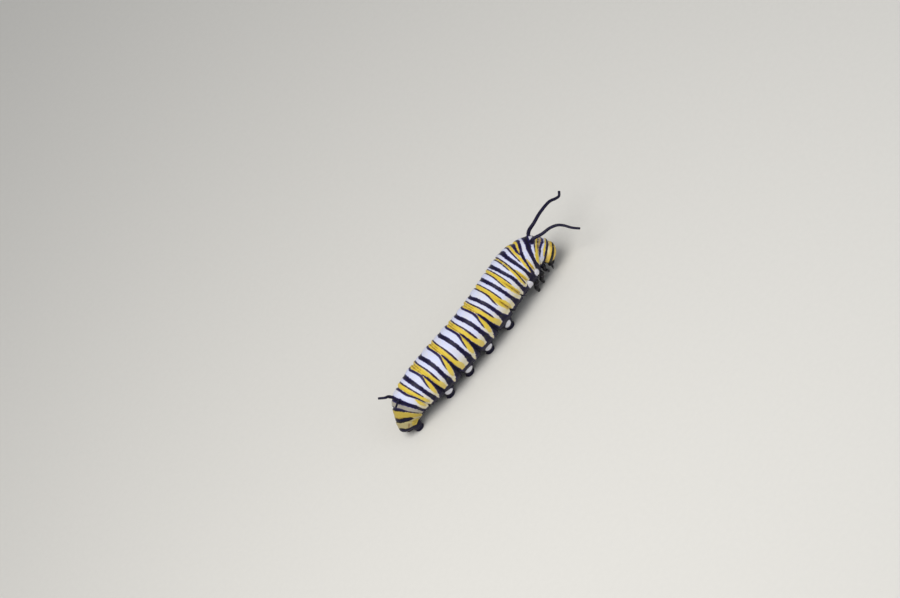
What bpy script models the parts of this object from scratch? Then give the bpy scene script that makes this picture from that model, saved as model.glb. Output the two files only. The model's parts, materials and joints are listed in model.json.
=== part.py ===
"""Monarch butterfly larva, fifth instar, life size, walking with its head bent down to its right.

The body is a tube of thirteen segments. Its shape comes from one row of sizes for each segment, and
the legs, feelers and head are set on that tube. Lengths are in millimetres until the meshes are made.
The larva faces +X, its left side is +Y, and its feet stand on the plane z = 0.
"""

import math

import bpy
import numpy as np

MM = 0.001
MIDDLE = (13.08, 0.12, 0.0)  # the middle of the whole animal's length and width, moved to the origin
GAP = 0.3  # clear space between two pieces that touch on the animal
AROUND = 32  # corners of one ring of the body
RINGS_IN_SEGMENT = 5  # rings between the two ends of a segment

# One row for each body segment, head end first: the middle of the segment (x, y, z), the pitch and yaw
# of the ring there in degrees (nose up and nose left are positive), half its width and half its height.
COLLAR = ("collar", 27.43, 0.32, 3.21, -47.0, -40.0, 1.84, 1.84)
SEGMENTS = (
    ("thorax_1", 26.75, 0.65, 3.77, -40.0, -35.0, 2.26, 2.22),
    ("thorax_2", 25.36, 1.03, 4.66, -18.0, -15.0, 3.14, 3.14),
    ("thorax_3", 22.50, 1.22, 5.00, -1.0, 4.0, 3.68, 3.68),
    ("abdomen_1", 20.05, 1.07, 4.92, 3.0, 7.0, 3.72, 3.72),
    ("abdomen_2", 17.45, 0.72, 4.78, 5.0, 9.0, 3.72, 3.72),
    ("abdomen_3", 14.30, 0.33, 4.55, 4.0, 7.0, 3.72, 3.72),
    ("abdomen_4", 10.35, 0.02, 4.34, 3.0, 3.0, 3.68, 3.68),
    ("abdomen_5", 6.10, 0.00, 4.28, 1.0, 0.0, 3.68, 3.68),
    ("abdomen_6", 1.70, 0.00, 4.28, -2.0, -1.0, 3.66, 3.64),
    ("abdomen_7", -2.25, 0.00, 4.22, 6.0, 3.0, 3.42, 3.40),
    ("abdomen_8", -5.55, -0.03, 3.82, 19.0, 12.0, 2.94, 2.90),
    ("abdomen_9", -7.15, -0.50, 2.78, 33.0, 25.0, 2.26, 2.16),
    ("abdomen_10", -8.30, -0.90, 2.05, 43.0, 33.0, 1.66, 1.40),
)
RUMP = ("rump", -9.20, -1.30, 1.35, 50.0, 38.0, 0.95, 0.70)
SEGMENT_NAMES = [row[0] for row in SEGMENTS]
ROWS = np.array([row[1:] for row in (COLLAR, *SEGMENTS, RUMP)])

CREASE_DORSAL = 0.025  # how far the body draws in between segments, as a share of its radius
CREASE_LATERAL = 0.055
CREASE_REACH = 0.13  # share of a segment that a crease takes at each end
BELLY_FLAT = 0.07  # how much the underside is flattened, as a share of the radius
CUTTER_RINGS = 8  # rings in each segment of the tube that trims roots
STEEPEST_SLANT = 0.4  # cosine of the steepest slant of the skin that the trimming allows for
# The rounded end behind the last segment: how far behind its edge, and the share of the radius left.
RUMP_ROUND = ((0.15, 0.95), (0.28, 0.80), (0.38, 0.55), (0.43, 0.25))

# The head's capsule, and the six simple eyes of each side: degrees from the middle of the face, and
# degrees from the crown.
HEAD_CENTRE = (27.30, 0.31, 3.18)
HEAD_PITCH, HEAD_YAW = -46.0, -30.0
HEAD_HALF = (1.32, 1.84, 1.84)  # half depth, half width, half height of the capsule
HEAD_CLEFT = 0.07  # depth of the groove down the crown, as a share of the radius
HEAD_CLEFT_WIDTH = 0.22  # sine of the angle from the crown at which that groove has nearly ended
HEAD_JOWL = 0.10  # how much the lower part of the face narrows
HEAD_RINGS, HEAD_CORNERS = 15, 28
FACE_LEAN, NECK_LEAN = 6.0, 172.0  # degrees from the middle of the face to the first and the last ring
EYES = ((58, 104), (62, 114), (68, 123), (76, 128), (84, 124), (66, 134))
EYE_RADIUS = 0.15
EYE_SINK = 0.05

# The pieces round the mouth, forward, left and up from the middle of the capsule: the line that each
# follows, the radii along it, how many times wider than thick it is, and whether there is a pair.
UPPER_LIP = ((0.95, 0.0, -1.35), (1.15, 0.0, -1.75), (1.12, 0.0, -2.12))
LOWER_LIP = ((0.00, 0.0, -1.30), (0.02, 0.0, -1.95), (0.15, 0.0, -2.50))
JAW = ((0.45, 0.80, -1.20), (0.70, 0.78, -1.85), (0.78, 0.50, -2.42))
ANTENNA = ((0.55, 1.20, -1.00), (0.95, 1.50, -1.55), (1.25, 1.62, -2.05))
MOUTH = (
    ("upper_lip", UPPER_LIP, (0.30, 0.34, 0.26), 2.10, False),
    ("lower_lip", LOWER_LIP, (0.42, 0.40, 0.22), 1.25, False),
    ("jaw", JAW, (0.40, 0.38, 0.20), 1.00, True),
    ("antenna", ANTENNA, (0.30, 0.26, 0.14), 1.00, True),
)

# The feet of each pair of prolegs: how far the sole's middle is from its segment's middle along x.
PROLEG_SHIFT = {"abdomen_3": 0.20, "abdomen_4": -0.90, "abdomen_5": -1.50, "abdomen_6": -1.75}
PROLEG_LEAN = 0.6  # share of that shift which the root of the leg has too
PROLEG_OUT = 1.78  # from the middle line to the middle of a sole
PROLEG_ROOT_OUT = 1.85
PROLEG_ROOT_HEIGHT = 2.30
PROLEG_SOLE = (0.82, 0.66)  # half length and half width of the sole
PROLEG_ROOT = (1.20, 0.95)
PROLEG_CORNERS = 16
# The outline of a proleg: share of its height, share of the way from sole size to root size, push out.
PROLEG_PROFILE = (
    (0.00, -0.06, 0.00),
    (0.07, 0.06, 0.00),
    (0.16, -0.10, 0.00),
    (0.34, 0.18, 0.05),
    (0.56, 0.66, 0.10),
    (0.78, 0.98, 0.06),
    (1.00, 1.00, 0.00),
)
ANAL_SOLE_MIDDLE = (-7.85, -0.72)
ANAL_OUT = 1.02
ANAL_SOLE = (0.78, 0.60)
ANAL_ROOT = (1.05, 0.88)
ANAL_ROOT_OUT = 0.95
ANAL_ROOT_HEIGHT = 2.10

# The true legs. The root is at a share of a segment behind the middle of its own and at degrees from the
# back. The tip is ahead of the segment's middle, out from it, and above the floor. Girth scales LEG_RADII.
TRUE_LEGS = {
    "thorax_1": {"root": (-0.10, 128.0), "tip": (-0.67, 1.95, 1.0), "girth": 0.76},
    "thorax_2": {"root": (0.20, 138.0), "tip": (-1.72, 1.85, 0.0), "girth": 0.90},
    "thorax_3": {"root": (0.12, 140.0), "tip": (-0.98, 2.05, 0.0), "girth": 0.96},
}
LEG_RADII = (0.58, 0.54, 0.49, 0.44, 0.38, 0.32, 0.27, 0.23, 0.18)
LEG_CORNERS = 10
LEG_ROOT_DEPTH = 0.7  # how deep a leg starts under the skin, before it is trimmed there
HIP_OUT = 0.30  # from the skin to the hip
KNEE_OUT, KNEE_AHEAD = 0.0, -0.18  # how far the knee is from the middle of the line from hip to tip
ANKLE_OUT, ANKLE_AHEAD, ANKLE_UP = 0.14, 0.20, 0.42  # the ankle's place from the tip

# The fleshy feelers. A root is at a share of a segment behind the middle of its own and at degrees to
# each side of the middle of the back. A feeler runs from there through its offsets along x, y and z.
BACK_ROLL = 14.0  # degrees that the back is rolled to the left over the planted feet
FEELER_ROOT = {"thorax_2": (-0.18, 22.0), "abdomen_8": (0.0, 30.0)}
FRONT_LEFT = (
    (2.1, -0.15, 1.04),
    (4.0, 0.45, 1.04),
    (6.2, 1.05, 0.65),
    (7.4, 1.25, -0.10),
    (8.1, 1.45, -0.42),
    (8.7, 1.75, 0.05),
)
FRONT_RIGHT = (
    (2.1, -0.9, 0.20),
    (3.6, -1.3, 0.15),
    (4.7, -1.9, -0.05),
    (5.4, -2.7, -0.45),
    (6.0, -3.8, -1.10),
    (6.8, -4.8, -1.70),
)
REAR_LEFT = ((-0.8, -0.1, 1.15), (-1.65, 0.65, 1.50))
REAR_RIGHT = ((-0.52, -0.82, 0.78), (-1.05, -1.64, 1.20))
FEELER_ROOT_RADIUS = 0.56
FEELER_SWELLING = 0.10  # share of a feeler's length that its broad root takes
FEELER_ROOT_DEPTH = 0.5  # how deep a feeler starts under the skin, before it is trimmed there
FEELER_STEM = 0.45  # the first stretch, square to the skin
FEELER_STEM_LEAN = 0.15  # share of the first offset that bends this stretch
FEELER_TIP = 0.6  # the last ring's radius, as a share of the one before it
FEELER_CORNERS = 8
FRONT_FEELER_RADII = (0.31, 0.25)
FRONT_FEELER_RINGS, FRONT_FEELER_SPLIT = 31, 15
REAR_FEELER_RADII = (0.27, 0.24)
REAR_FEELER_RINGS = 12


def clear_scene():
    """Removes the objects that the file opened with."""
    for obj in list(bpy.data.objects):
        bpy.data.objects.remove(obj, do_unlink=True)


def axes_of(pitch, yaw):
    """Forward, left and up vectors of a ring, as arrays, from its pitch and yaw in degrees."""
    pitch, yaw = np.radians(pitch), np.radians(yaw)
    flat = np.zeros_like(pitch)
    forward = np.stack([np.cos(pitch) * np.cos(yaw), np.cos(pitch) * np.sin(yaw), np.sin(pitch)], -1)
    left = np.stack([-np.sin(yaw), np.cos(yaw), flat], -1)
    return forward, left, np.cross(forward, left)


def catmull_rom(knots, place):
    """The curve through the knots, read at places counted in knots."""
    last = len(knots) - 1
    place = np.clip(np.asarray(place, float), 0.0, last)
    start = np.minimum(np.floor(place).astype(int), last - 1)
    part = (place - start)[..., None]
    a, b = knots[np.maximum(start - 1, 0)], knots[start]
    c, d = knots[start + 1], knots[np.minimum(start + 2, last)]
    bend = part * (1 - part) * ((1 - part) * (2 * b - a - c) + part * (2 * c - b - d)) / 2
    return b + (c - b) * part + bend


def row_at(t):
    """The sizes at place t along the body: the collar is at 0, and row k of SEGMENTS is at k + 1."""
    return catmull_rom(ROWS, t)


def body_radius(t, angle):
    """Share of the half width at place t and at an angle from the back, with creases and a flat belly."""
    to_edge = np.abs((np.asarray(t, float) + 0.5) % 1.0)
    to_edge = np.minimum(to_edge, 1.0 - to_edge)
    crease = np.exp(-((to_edge / CREASE_REACH) ** 2))
    side = np.minimum(2 * np.sin(angle / 2) ** 2, 1.0)
    depth = CREASE_DORSAL + (CREASE_LATERAL - CREASE_DORSAL) * side
    belly = BELLY_FLAT * np.clip(-np.cos(angle), 0.0, 1.0) ** 3
    return (1.0 - depth * crease) * (1.0 - belly)


def body_ring(t, shift=0.0, swell=0.0, shrink=1.0):
    """One ring at place t, moved forward by shift, made shrink times as wide, then widened by swell."""
    x, y, z, pitch, yaw, half_width, half_height = row_at(t)
    forward, left, up = axes_of(pitch, yaw)
    angle = np.arange(AROUND) * 2 * np.pi / AROUND
    share = body_radius(t, angle) * shrink
    wide = (half_width * share + swell) * np.sin(angle)
    high = (half_height * share + swell) * np.cos(angle)
    centre = np.array([x, y, z]) + shift * forward
    return centre + wide[:, None] * left + high[:, None] * up


def surface_point(t, degrees):
    """The point of the body's skin at place t and at degrees from the back, left positive."""
    x, y, z, pitch, yaw, half_width, half_height = row_at(t)
    _, left, up = axes_of(pitch, yaw)
    angle = math.radians(degrees)
    share = body_radius(t, angle)
    return np.array([x, y, z]) + share * (
        half_width * math.sin(angle) * left + half_height * math.cos(angle) * up
    )


def skin_normal(t, degrees, step=0.05, turn=1.0):
    """The outward direction of the body's skin at a place and an angle, from its slopes there."""
    along = surface_point(t - step, degrees) - surface_point(t + step, degrees)
    round_it = surface_point(t, degrees + turn) - surface_point(t, degrees - turn)
    normal = np.cross(along, round_it)
    return normal / np.linalg.norm(normal)


def mesh_object(name, points, faces):
    """A new object whose mesh has these points, in millimetres, and these faces."""
    mesh = bpy.data.meshes.new(name)
    mesh.from_pydata(((np.asarray(points) - MIDDLE) * MM).tolist(), [], faces)
    mesh.validate()
    obj = bpy.data.objects.new(name, mesh)
    bpy.context.scene.collection.objects.link(obj)
    return obj


def turn_outwards(obj):
    """Flips a closed mesh whose faces point inwards."""
    mesh = obj.data
    mesh.calc_loop_triangles()
    points = np.array([v.co for v in mesh.vertices])
    corners = points[np.array([tri.vertices for tri in mesh.loop_triangles])]
    if np.linalg.det(corners - points.mean(axis=0)).sum() < 0:
        mesh.flip_normals()


def lofted(name, rings):
    """A closed solid through rings of equal count, each end closed by a fan round its middle."""
    rings = [np.asarray(ring, float) for ring in rings]
    count = len(rings[0])
    points = np.concatenate([*rings, [rings[0].mean(axis=0), rings[-1].mean(axis=0)]])
    first_middle, last_middle = len(points) - 2, len(points) - 1
    base = (len(rings) - 1) * count
    faces = []
    for i in range(count):
        j = (i + 1) % count
        for r in range(len(rings) - 1):
            a, b = r * count + i, r * count + j
            faces += [(a, b, b + count), (a, b + count, a + count)]
        faces.append((j, i, first_middle))
        faces.append((base + i, base + j, last_middle))
    obj = mesh_object(name, points, faces)
    turn_outwards(obj)
    return obj


def as_cutter(obj):
    """Keeps an object out of the model: it only trims others."""
    obj.hide_render = True
    obj.display_type = "WIRE"
    return obj


def material(name, colour, roughness):
    """A plain Principled material."""
    made = bpy.data.materials.new(name)
    made.use_nodes = True
    shader = made.node_tree.nodes["Principled BSDF"]
    shader.inputs["Base Color"].default_value = (*colour, 1.0)
    shader.inputs["Roughness"].default_value = roughness
    shader.inputs["Metallic"].default_value = 0.0
    return made


def finish(obj, finish_material):
    """Gives the object its material, and shades it smooth apart from its sharp edges."""
    obj.data.materials.clear()
    obj.data.materials.append(finish_material)
    obj.data.shade_smooth()
    obj.data.set_sharp_from_angle(angle=math.radians(40))


def keep_largest(obj):
    """Keeps only the largest closed surface of the object's mesh."""
    mesh = obj.data
    if not mesh.edges:
        raise ValueError(f"nothing is left of {obj.name}")
    owner = np.arange(len(mesh.vertices))
    edges = np.array([edge.vertices for edge in mesh.edges])
    while True:
        lowest = np.minimum(owner[edges[:, 0]], owner[edges[:, 1]])
        before = owner.copy()
        np.minimum.at(owner, edges[:, 0], lowest)
        np.minimum.at(owner, edges[:, 1], lowest)
        if (owner == before).all():
            break
    names, counts = np.unique(owner, return_counts=True)
    kept = owner == names[counts.argmax()]
    if kept.all():
        return
    number = np.cumsum(kept) - 1
    points = np.array([v.co for v in mesh.vertices])[kept]
    faces = [[int(number[v]) for v in face.vertices] for face in mesh.polygons if kept[face.vertices[0]]]
    made = bpy.data.meshes.new(mesh.name)
    made.from_pydata(points.tolist(), [], faces)
    obj.data = made


def apply_boolean(obj, other, operation):
    """Cuts the object by another, or joins the meshes of a collection to it, and keeps the mesh."""
    modifier = obj.modifiers.new("boolean", "BOOLEAN")
    modifier.operation = operation
    modifier.solver = "EXACT"
    if isinstance(other, bpy.types.Collection):
        modifier.operand_type = "COLLECTION"
        modifier.collection = other
    else:
        modifier.object = other
    graph = bpy.context.evaluated_depsgraph_get()
    made = bpy.data.meshes.new_from_object(obj.evaluated_get(graph))
    obj.modifiers.clear()
    obj.data = made
    keep_largest(obj)


def rump_rings(swell=0.0):
    """The rings that close the body behind its last segment."""
    edge = len(SEGMENTS) + 0.5
    return [body_ring(edge + behind, swell=swell, shrink=shrink) for behind, shrink in RUMP_ROUND]


def make_segments(skin):
    """The thirteen body segments, with a flat gap across the body between each two."""
    for k, name in enumerate(SEGMENT_NAMES):
        front, back = k + 0.5, k + 1.5
        inner = np.linspace(front, back, RINGS_IN_SEGMENT + 2)[1:-1]
        rings = [body_ring(front, shift=-GAP / 2)]
        rings += [body_ring(t) for t in inner]
        if name == SEGMENT_NAMES[-1]:
            rings += rump_rings()
        else:
            rings.append(body_ring(back, shift=GAP / 2))
        finish(lofted(name, rings), skin)


def clear_swell(t):
    """How far each corner of a ring moves out in its plane so that the slanting skin moves out by the gap."""
    _, left, up = axes_of(*row_at(t)[3:5])
    swells = []
    for angle in np.arange(AROUND) * 2 * np.pi / AROUND:
        outward = math.sin(angle) * left + math.cos(angle) * up
        slant = outward @ skin_normal(t, math.degrees(angle))
        swells.append(GAP / max(slant, STEEPEST_SLANT))
    return np.array(swells)


def make_body_cutter():
    """The whole body as one tube, wider by the gap, which trims the roots of all that grows on it."""
    places = np.linspace(0.5, len(SEGMENTS) + 0.5, CUTTER_RINGS * len(SEGMENTS) + 1)
    rings = [body_ring(t, swell=clear_swell(t)) for t in places]
    rings[0] = body_ring(places[0], shift=GAP / 2, swell=clear_swell(places[0]))
    return as_cutter(lofted("body_cutter", [*rings, *rump_rings(swell=GAP)]))


def proleg(name, sole_middle, root_middle, sole, root, side):
    """A soft leg: a stout column that narrows to an ankle and widens to a flat sole on the floor."""
    sole_middle, root_middle = np.array(sole_middle), np.array(root_middle)
    sole, root = np.array(sole), np.array(root)
    angle = np.arange(PROLEG_CORNERS) * 2 * np.pi / PROLEG_CORNERS
    circle = np.stack([np.cos(angle), np.sin(angle), np.zeros_like(angle)], -1)
    rings = []
    for up, widen, push in PROLEG_PROFILE:
        centre = sole_middle + (root_middle - sole_middle) * up + np.array([0.0, side * push, 0.0])
        half_x, half_y = sole + (root - sole) * widen
        rings.append(centre + circle * (half_x, half_y, 0.0))
    return lofted(name, rings)


def make_prolegs(cutter, skin):
    """Four pairs of prolegs under the middle of the body, and the anal pair under its end."""
    for name, shift in PROLEG_SHIFT.items():
        x, y = SEGMENTS[SEGMENT_NAMES.index(name)][1:3]
        for side, word in ((1, "left"), (-1, "right")):
            sole_middle = (x + shift, y + side * PROLEG_OUT, 0.0)
            root_middle = (x + shift * PROLEG_LEAN, y + side * PROLEG_ROOT_OUT, PROLEG_ROOT_HEIGHT)
            node = f"proleg_{name[-1]}_{word}"
            leg = proleg(node, sole_middle, root_middle, PROLEG_SOLE, PROLEG_ROOT, side)
            apply_boolean(leg, cutter, "DIFFERENCE")
            finish(leg, skin)
    yaw = SEGMENTS[-1][5]
    left = axes_of(0.0, yaw)[1]
    for side, word in ((1, "left"), (-1, "right")):
        sole_middle = np.array([*ANAL_SOLE_MIDDLE, 0.0]) + side * ANAL_OUT * left
        root_middle = np.array([*ANAL_SOLE_MIDDLE, ANAL_ROOT_HEIGHT]) + side * ANAL_ROOT_OUT * left
        node = f"proleg_anal_{word}"
        leg = proleg(node, sole_middle, root_middle, ANAL_SOLE, ANAL_ROOT, side)
        apply_boolean(leg, cutter, "DIFFERENCE")
        finish(leg, skin)


def smooth_path(points, count):
    """Count points along the curve through the given points, spaced evenly from knot to knot."""
    return catmull_rom(np.asarray(points, float), np.linspace(0, len(points) - 1, count))


def tube_rings(path, radii, count):
    """Round rings of the given radii along a path, square to it, without twist."""
    path = np.asarray(path, float)
    along = np.gradient(path, axis=0)
    along /= np.linalg.norm(along, axis=1)[:, None]
    across = np.cross(along[0], [0.0, 0.0, 1.0])
    angle = np.arange(count) * 2 * np.pi / count
    rings = []
    for centre, direction, radius in zip(path, along, radii):
        across = across - direction * (across @ direction)
        across /= np.linalg.norm(across)
        third = np.cross(direction, across)
        rings.append(centre + radius * (np.cos(angle)[:, None] * across + np.sin(angle)[:, None] * third))
    return rings


def make_true_legs(cutter, shell):
    """Three pairs of short jointed legs under the thorax, each ending in a small claw."""
    for name, leg in TRUE_LEGS.items():
        place = SEGMENT_NAMES.index(name) + 1 + leg["root"][0]
        ahead, out, height = leg["tip"]
        x, y, _, _, yaw = SEGMENTS[SEGMENT_NAMES.index(name)][1:6]
        forward, left, _ = axes_of(0.0, yaw)
        for side, word in ((1, "left"), (-1, "right")):
            root = surface_point(place, side * leg["root"][1])
            outward = skin_normal(place, side * leg["root"][1])
            hip = root + HIP_OUT * outward
            tip = np.array([x, y, height]) + ahead * forward + side * out * left
            knee = (hip + tip) / 2 + side * KNEE_OUT * left + KNEE_AHEAD * forward
            ankle = tip + side * ANKLE_OUT * left + ANKLE_AHEAD * forward + np.array([0.0, 0.0, ANKLE_UP])
            path = smooth_path([root - LEG_ROOT_DEPTH * outward, hip, knee, ankle, tip], len(LEG_RADII))
            rings = tube_rings(path, np.array(LEG_RADII) * leg["girth"], LEG_CORNERS)
            rings[-1][:, 2] = height
            made = lofted(f"leg_{name[-1]}_{word}", rings)
            apply_boolean(made, cutter, "DIFFERENCE")
            finish(made, shell)


def feeler_path(segment, side, offsets):
    """The line of one feeler: from under the skin of its segment out through its offsets."""
    behind, degrees = FEELER_ROOT[segment]
    t = SEGMENT_NAMES.index(segment) + 1 + behind
    degrees = side * degrees + BACK_ROLL
    root = surface_point(t, degrees)
    outward = skin_normal(t, degrees)
    stem = root + FEELER_STEM * outward + FEELER_STEM_LEAN * np.array(offsets[0])
    return [root - FEELER_ROOT_DEPTH * outward, stem, *(root + np.array(offset) for offset in offsets)]


def feeler_rings(segment, side, offsets, radii, count):
    """Rings along a feeler: a broad root, a slender stalk, and a blunt end."""
    path = smooth_path(feeler_path(segment, side, offsets), count)
    share = np.linspace(0, 1, count)
    sizes = radii[0] + (radii[1] - radii[0]) * share
    sizes += (FEELER_ROOT_RADIUS - radii[0]) * np.exp(-((share / FEELER_SWELLING) ** 2))
    sizes[-1] *= FEELER_TIP
    return path, tube_rings(path, sizes, FEELER_CORNERS)


def make_feelers(cutter, skin):
    """The long front pair, each in two lengths, and the short rear pair."""
    split = FRONT_FEELER_SPLIT
    for offsets, side, word in ((FRONT_LEFT, 1, "left"), (FRONT_RIGHT, -1, "right")):
        path, rings = feeler_rings("thorax_2", side, offsets, FRONT_FEELER_RADII, FRONT_FEELER_RINGS)
        along = path[split + 1] - path[split - 1]
        half_gap = along / np.linalg.norm(along) * GAP / 2
        root_length = lofted(f"feeler_front_{word}_root", [*rings[:split], rings[split] - half_gap])
        apply_boolean(root_length, cutter, "DIFFERENCE")
        finish(root_length, skin)
        tip_length = lofted(f"feeler_front_{word}_tip", [rings[split] + half_gap, *rings[split + 1 :]])
        finish(tip_length, skin)
    for offsets, side, word in ((REAR_LEFT, 1, "left"), (REAR_RIGHT, -1, "right")):
        _, rings = feeler_rings("abdomen_8", side, offsets, REAR_FEELER_RADII, REAR_FEELER_RINGS)
        feeler = lofted(f"feeler_rear_{word}", rings)
        apply_boolean(feeler, cutter, "DIFFERENCE")
        finish(feeler, skin)


def head_place(forward, left, up):
    """A point given in the head's own directions, in millimetres from the middle of the capsule."""
    axes = axes_of(HEAD_PITCH, HEAD_YAW)
    return np.array(HEAD_CENTRE) + forward * axes[0] + left * axes[1] + up * axes[2]


def capsule_point(lean, angle, swell=0.0):
    """A point of the head: lean is degrees from the middle of the face, angle is degrees from the crown."""
    lean, angle = math.radians(lean), math.radians(angle)
    depth, width, height = (half + swell for half in HEAD_HALF)
    crown = math.exp(-((math.sin(angle) / HEAD_CLEFT_WIDTH) ** 2)) * max(math.cos(angle), 0.0)
    share = 1.0 - HEAD_CLEFT * crown * math.sin(lean) ** 2
    jowl = 1.0 - HEAD_JOWL * max(-math.cos(angle), 0.0) ** 2 * math.sin(lean)
    return head_place(
        depth * math.cos(lean),
        width * math.sin(lean) * math.sin(angle) * share * jowl,
        height * math.sin(lean) * math.cos(angle) * share,
    )


def capsule(name, swell=0.0):
    """The head capsule as a closed solid with its poles at the face and at the neck."""
    leans = np.linspace(FACE_LEAN, NECK_LEAN, HEAD_RINGS)
    angles = np.arange(HEAD_CORNERS) * 360 / HEAD_CORNERS
    return lofted(name, [[capsule_point(lean, angle, swell) for angle in angles] for lean in leans])


def bead(name, centre, radius, rows=5, corners=8):
    """A small round ball."""
    angle = np.arange(corners) * 2 * np.pi / corners
    rings = []
    for lean in np.radians(np.linspace(0, 180, rows + 2)[1:-1]):
        flat = np.stack([np.cos(angle), np.sin(angle)], -1) * math.sin(lean)
        rings.append(np.column_stack([flat, np.full(corners, math.cos(lean))]) * radius + centre)
    return lofted(name, rings)


def make_head(cutter, shell):
    """The head capsule with its simple eyes joined to it."""
    head = capsule("head")
    eyes = bpy.data.collections.new("simple_eyes")
    bpy.context.scene.collection.children.link(eyes)
    for side in (1, -1):
        for lean, angle in EYES:
            eye = bead("simple_eye", capsule_point(lean, side * angle, swell=-EYE_SINK), EYE_RADIUS)
            bpy.context.scene.collection.objects.unlink(eye)
            eyes.objects.link(eye)
    apply_boolean(head, eyes, "UNION")
    for eye in list(eyes.objects):
        bpy.data.objects.remove(eye, do_unlink=True)
    bpy.data.collections.remove(eyes)
    apply_boolean(head, cutter, "DIFFERENCE")
    finish(head, shell)


def make_mouth(body_cutter, shell, count=7, corners=10):
    """The lips, jaws and antennae at the lower edge of the face, trimmed clear of the capsule."""
    head_cutter = as_cutter(capsule("head_cutter", swell=GAP))
    for name, line, radii, widen, paired in MOUTH:
        for side, word in ((1, "_left"), (-1, "_right")) if paired else ((1, ""),):
            path = smooth_path(np.array(line) * (1, side, 1), count)
            sizes = np.interp(np.linspace(0, 1, count), np.linspace(0, 1, len(radii)), radii)
            rings = []
            for middle, ring in zip(path, tube_rings(path, sizes, corners)):
                ring = middle + (ring - middle) * (1, widen, 1)
                rings.append([head_place(*point) for point in ring])
            made = lofted(name + word, rings)
            apply_boolean(made, head_cutter, "DIFFERENCE")
            apply_boolean(made, body_cutter, "DIFFERENCE")
            finish(made, shell)


def main():
    clear_scene()
    skin = material("larva_skin", (0.80, 0.78, 0.62), 0.45)
    leg_skin = material("leg_skin", (0.03, 0.03, 0.04), 0.40)
    shell = material("head_shell", (0.05, 0.04, 0.03), 0.25)
    make_segments(skin)
    cutter = make_body_cutter()
    make_prolegs(cutter, leg_skin)
    make_true_legs(cutter, shell)
    make_feelers(cutter, leg_skin)
    make_head(cutter, shell)
    make_mouth(cutter, shell)


main()
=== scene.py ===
"""Monarch butterfly larva, fifth instar, as a life-size still model: its skin, head, legs and stage.

Positions are worked out in millimetres in the larva's own measure, where the body is a tube of rows,
and turned to metres round MIDDLE when a mesh is made. A place on the body is t, counted in segments
from the collar (0), and turn, the degrees from the middle of the back, left positive.
"""

import json
import math

import bpy
import numpy as np
from mathutils import Matrix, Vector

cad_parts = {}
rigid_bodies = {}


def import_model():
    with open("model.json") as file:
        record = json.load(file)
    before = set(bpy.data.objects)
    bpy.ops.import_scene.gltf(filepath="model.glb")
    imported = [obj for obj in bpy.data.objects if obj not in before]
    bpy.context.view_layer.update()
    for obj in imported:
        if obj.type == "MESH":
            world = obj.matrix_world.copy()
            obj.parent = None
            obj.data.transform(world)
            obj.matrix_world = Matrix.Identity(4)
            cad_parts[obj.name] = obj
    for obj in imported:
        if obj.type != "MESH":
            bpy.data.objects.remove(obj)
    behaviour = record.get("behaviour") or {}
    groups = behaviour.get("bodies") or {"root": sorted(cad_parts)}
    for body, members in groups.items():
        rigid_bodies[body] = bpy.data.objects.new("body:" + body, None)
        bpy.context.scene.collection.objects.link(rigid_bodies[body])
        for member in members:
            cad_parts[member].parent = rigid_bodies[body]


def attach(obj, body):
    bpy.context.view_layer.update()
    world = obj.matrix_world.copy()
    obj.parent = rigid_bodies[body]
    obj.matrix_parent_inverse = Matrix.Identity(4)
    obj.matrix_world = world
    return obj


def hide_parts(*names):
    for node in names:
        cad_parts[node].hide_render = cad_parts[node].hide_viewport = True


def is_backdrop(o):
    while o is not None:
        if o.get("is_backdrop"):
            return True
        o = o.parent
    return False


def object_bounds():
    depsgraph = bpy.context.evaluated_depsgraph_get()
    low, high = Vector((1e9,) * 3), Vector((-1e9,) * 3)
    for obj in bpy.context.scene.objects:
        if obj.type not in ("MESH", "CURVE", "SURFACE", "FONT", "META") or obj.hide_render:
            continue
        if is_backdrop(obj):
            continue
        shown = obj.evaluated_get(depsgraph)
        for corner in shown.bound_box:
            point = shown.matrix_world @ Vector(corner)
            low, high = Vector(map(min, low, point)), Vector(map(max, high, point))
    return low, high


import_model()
SOLIDS_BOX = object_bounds()

bl_info = {
    "name": "Larva model",
    "version": (1, 0, 0),
    "blender": (4, 5, 0),
    "location": "3D View > Sidebar > Larva",
    "description": "Makes the skin, head, legs, hairs and stage of a life-size butterfly larva",
    "category": "Object",
}

MM = 0.001
MIDDLE = np.array((13.08, 0.12, 0.0))  # the model's origin in the larva's own measure
SEED = 20

# Rows of the body, head end first: the middle of the ring (x, y, z), its pitch and yaw in degrees,
# half its width and half its height.
ROWS = np.array(
    (
        (27.43, 0.32, 3.21, -47.0, -40.0, 1.84, 1.84),
        (26.75, 0.65, 3.77, -40.0, -35.0, 2.26, 2.22),
        (25.36, 1.03, 4.66, -18.0, -15.0, 3.14, 3.14),
        (22.50, 1.22, 5.00, -1.0, 4.0, 3.68, 3.68),
        (20.05, 1.07, 4.92, 3.0, 7.0, 3.72, 3.72),
        (17.45, 0.72, 4.78, 5.0, 9.0, 3.72, 3.72),
        (14.30, 0.33, 4.55, 4.0, 7.0, 3.72, 3.72),
        (10.35, 0.02, 4.34, 3.0, 3.0, 3.68, 3.68),
        (6.10, 0.00, 4.28, 1.0, 0.0, 3.68, 3.68),
        (1.70, 0.00, 4.28, -2.0, -1.0, 3.66, 3.64),
        (-2.25, 0.00, 4.22, 6.0, 3.0, 3.42, 3.40),
        (-5.55, -0.03, 3.82, 19.0, 12.0, 2.94, 2.90),
        (-7.15, -0.50, 2.78, 33.0, 25.0, 2.26, 2.16),
        (-8.30, -0.90, 2.05, 43.0, 33.0, 1.66, 1.40),
        (-9.20, -1.30, 1.35, 50.0, 38.0, 0.95, 0.70),
    )
)
BELLY_FLAT = 0.07  # how much lower the belly is than a full ellipse
BACK_ROLL = 14.0  # degrees that the back, with its pattern and feelers, is rolled to the left over the feet
BODY_END = 13.5
RUMP_LENGTH = 0.43  # how far the rounded end goes behind BODY_END, in segments
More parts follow.
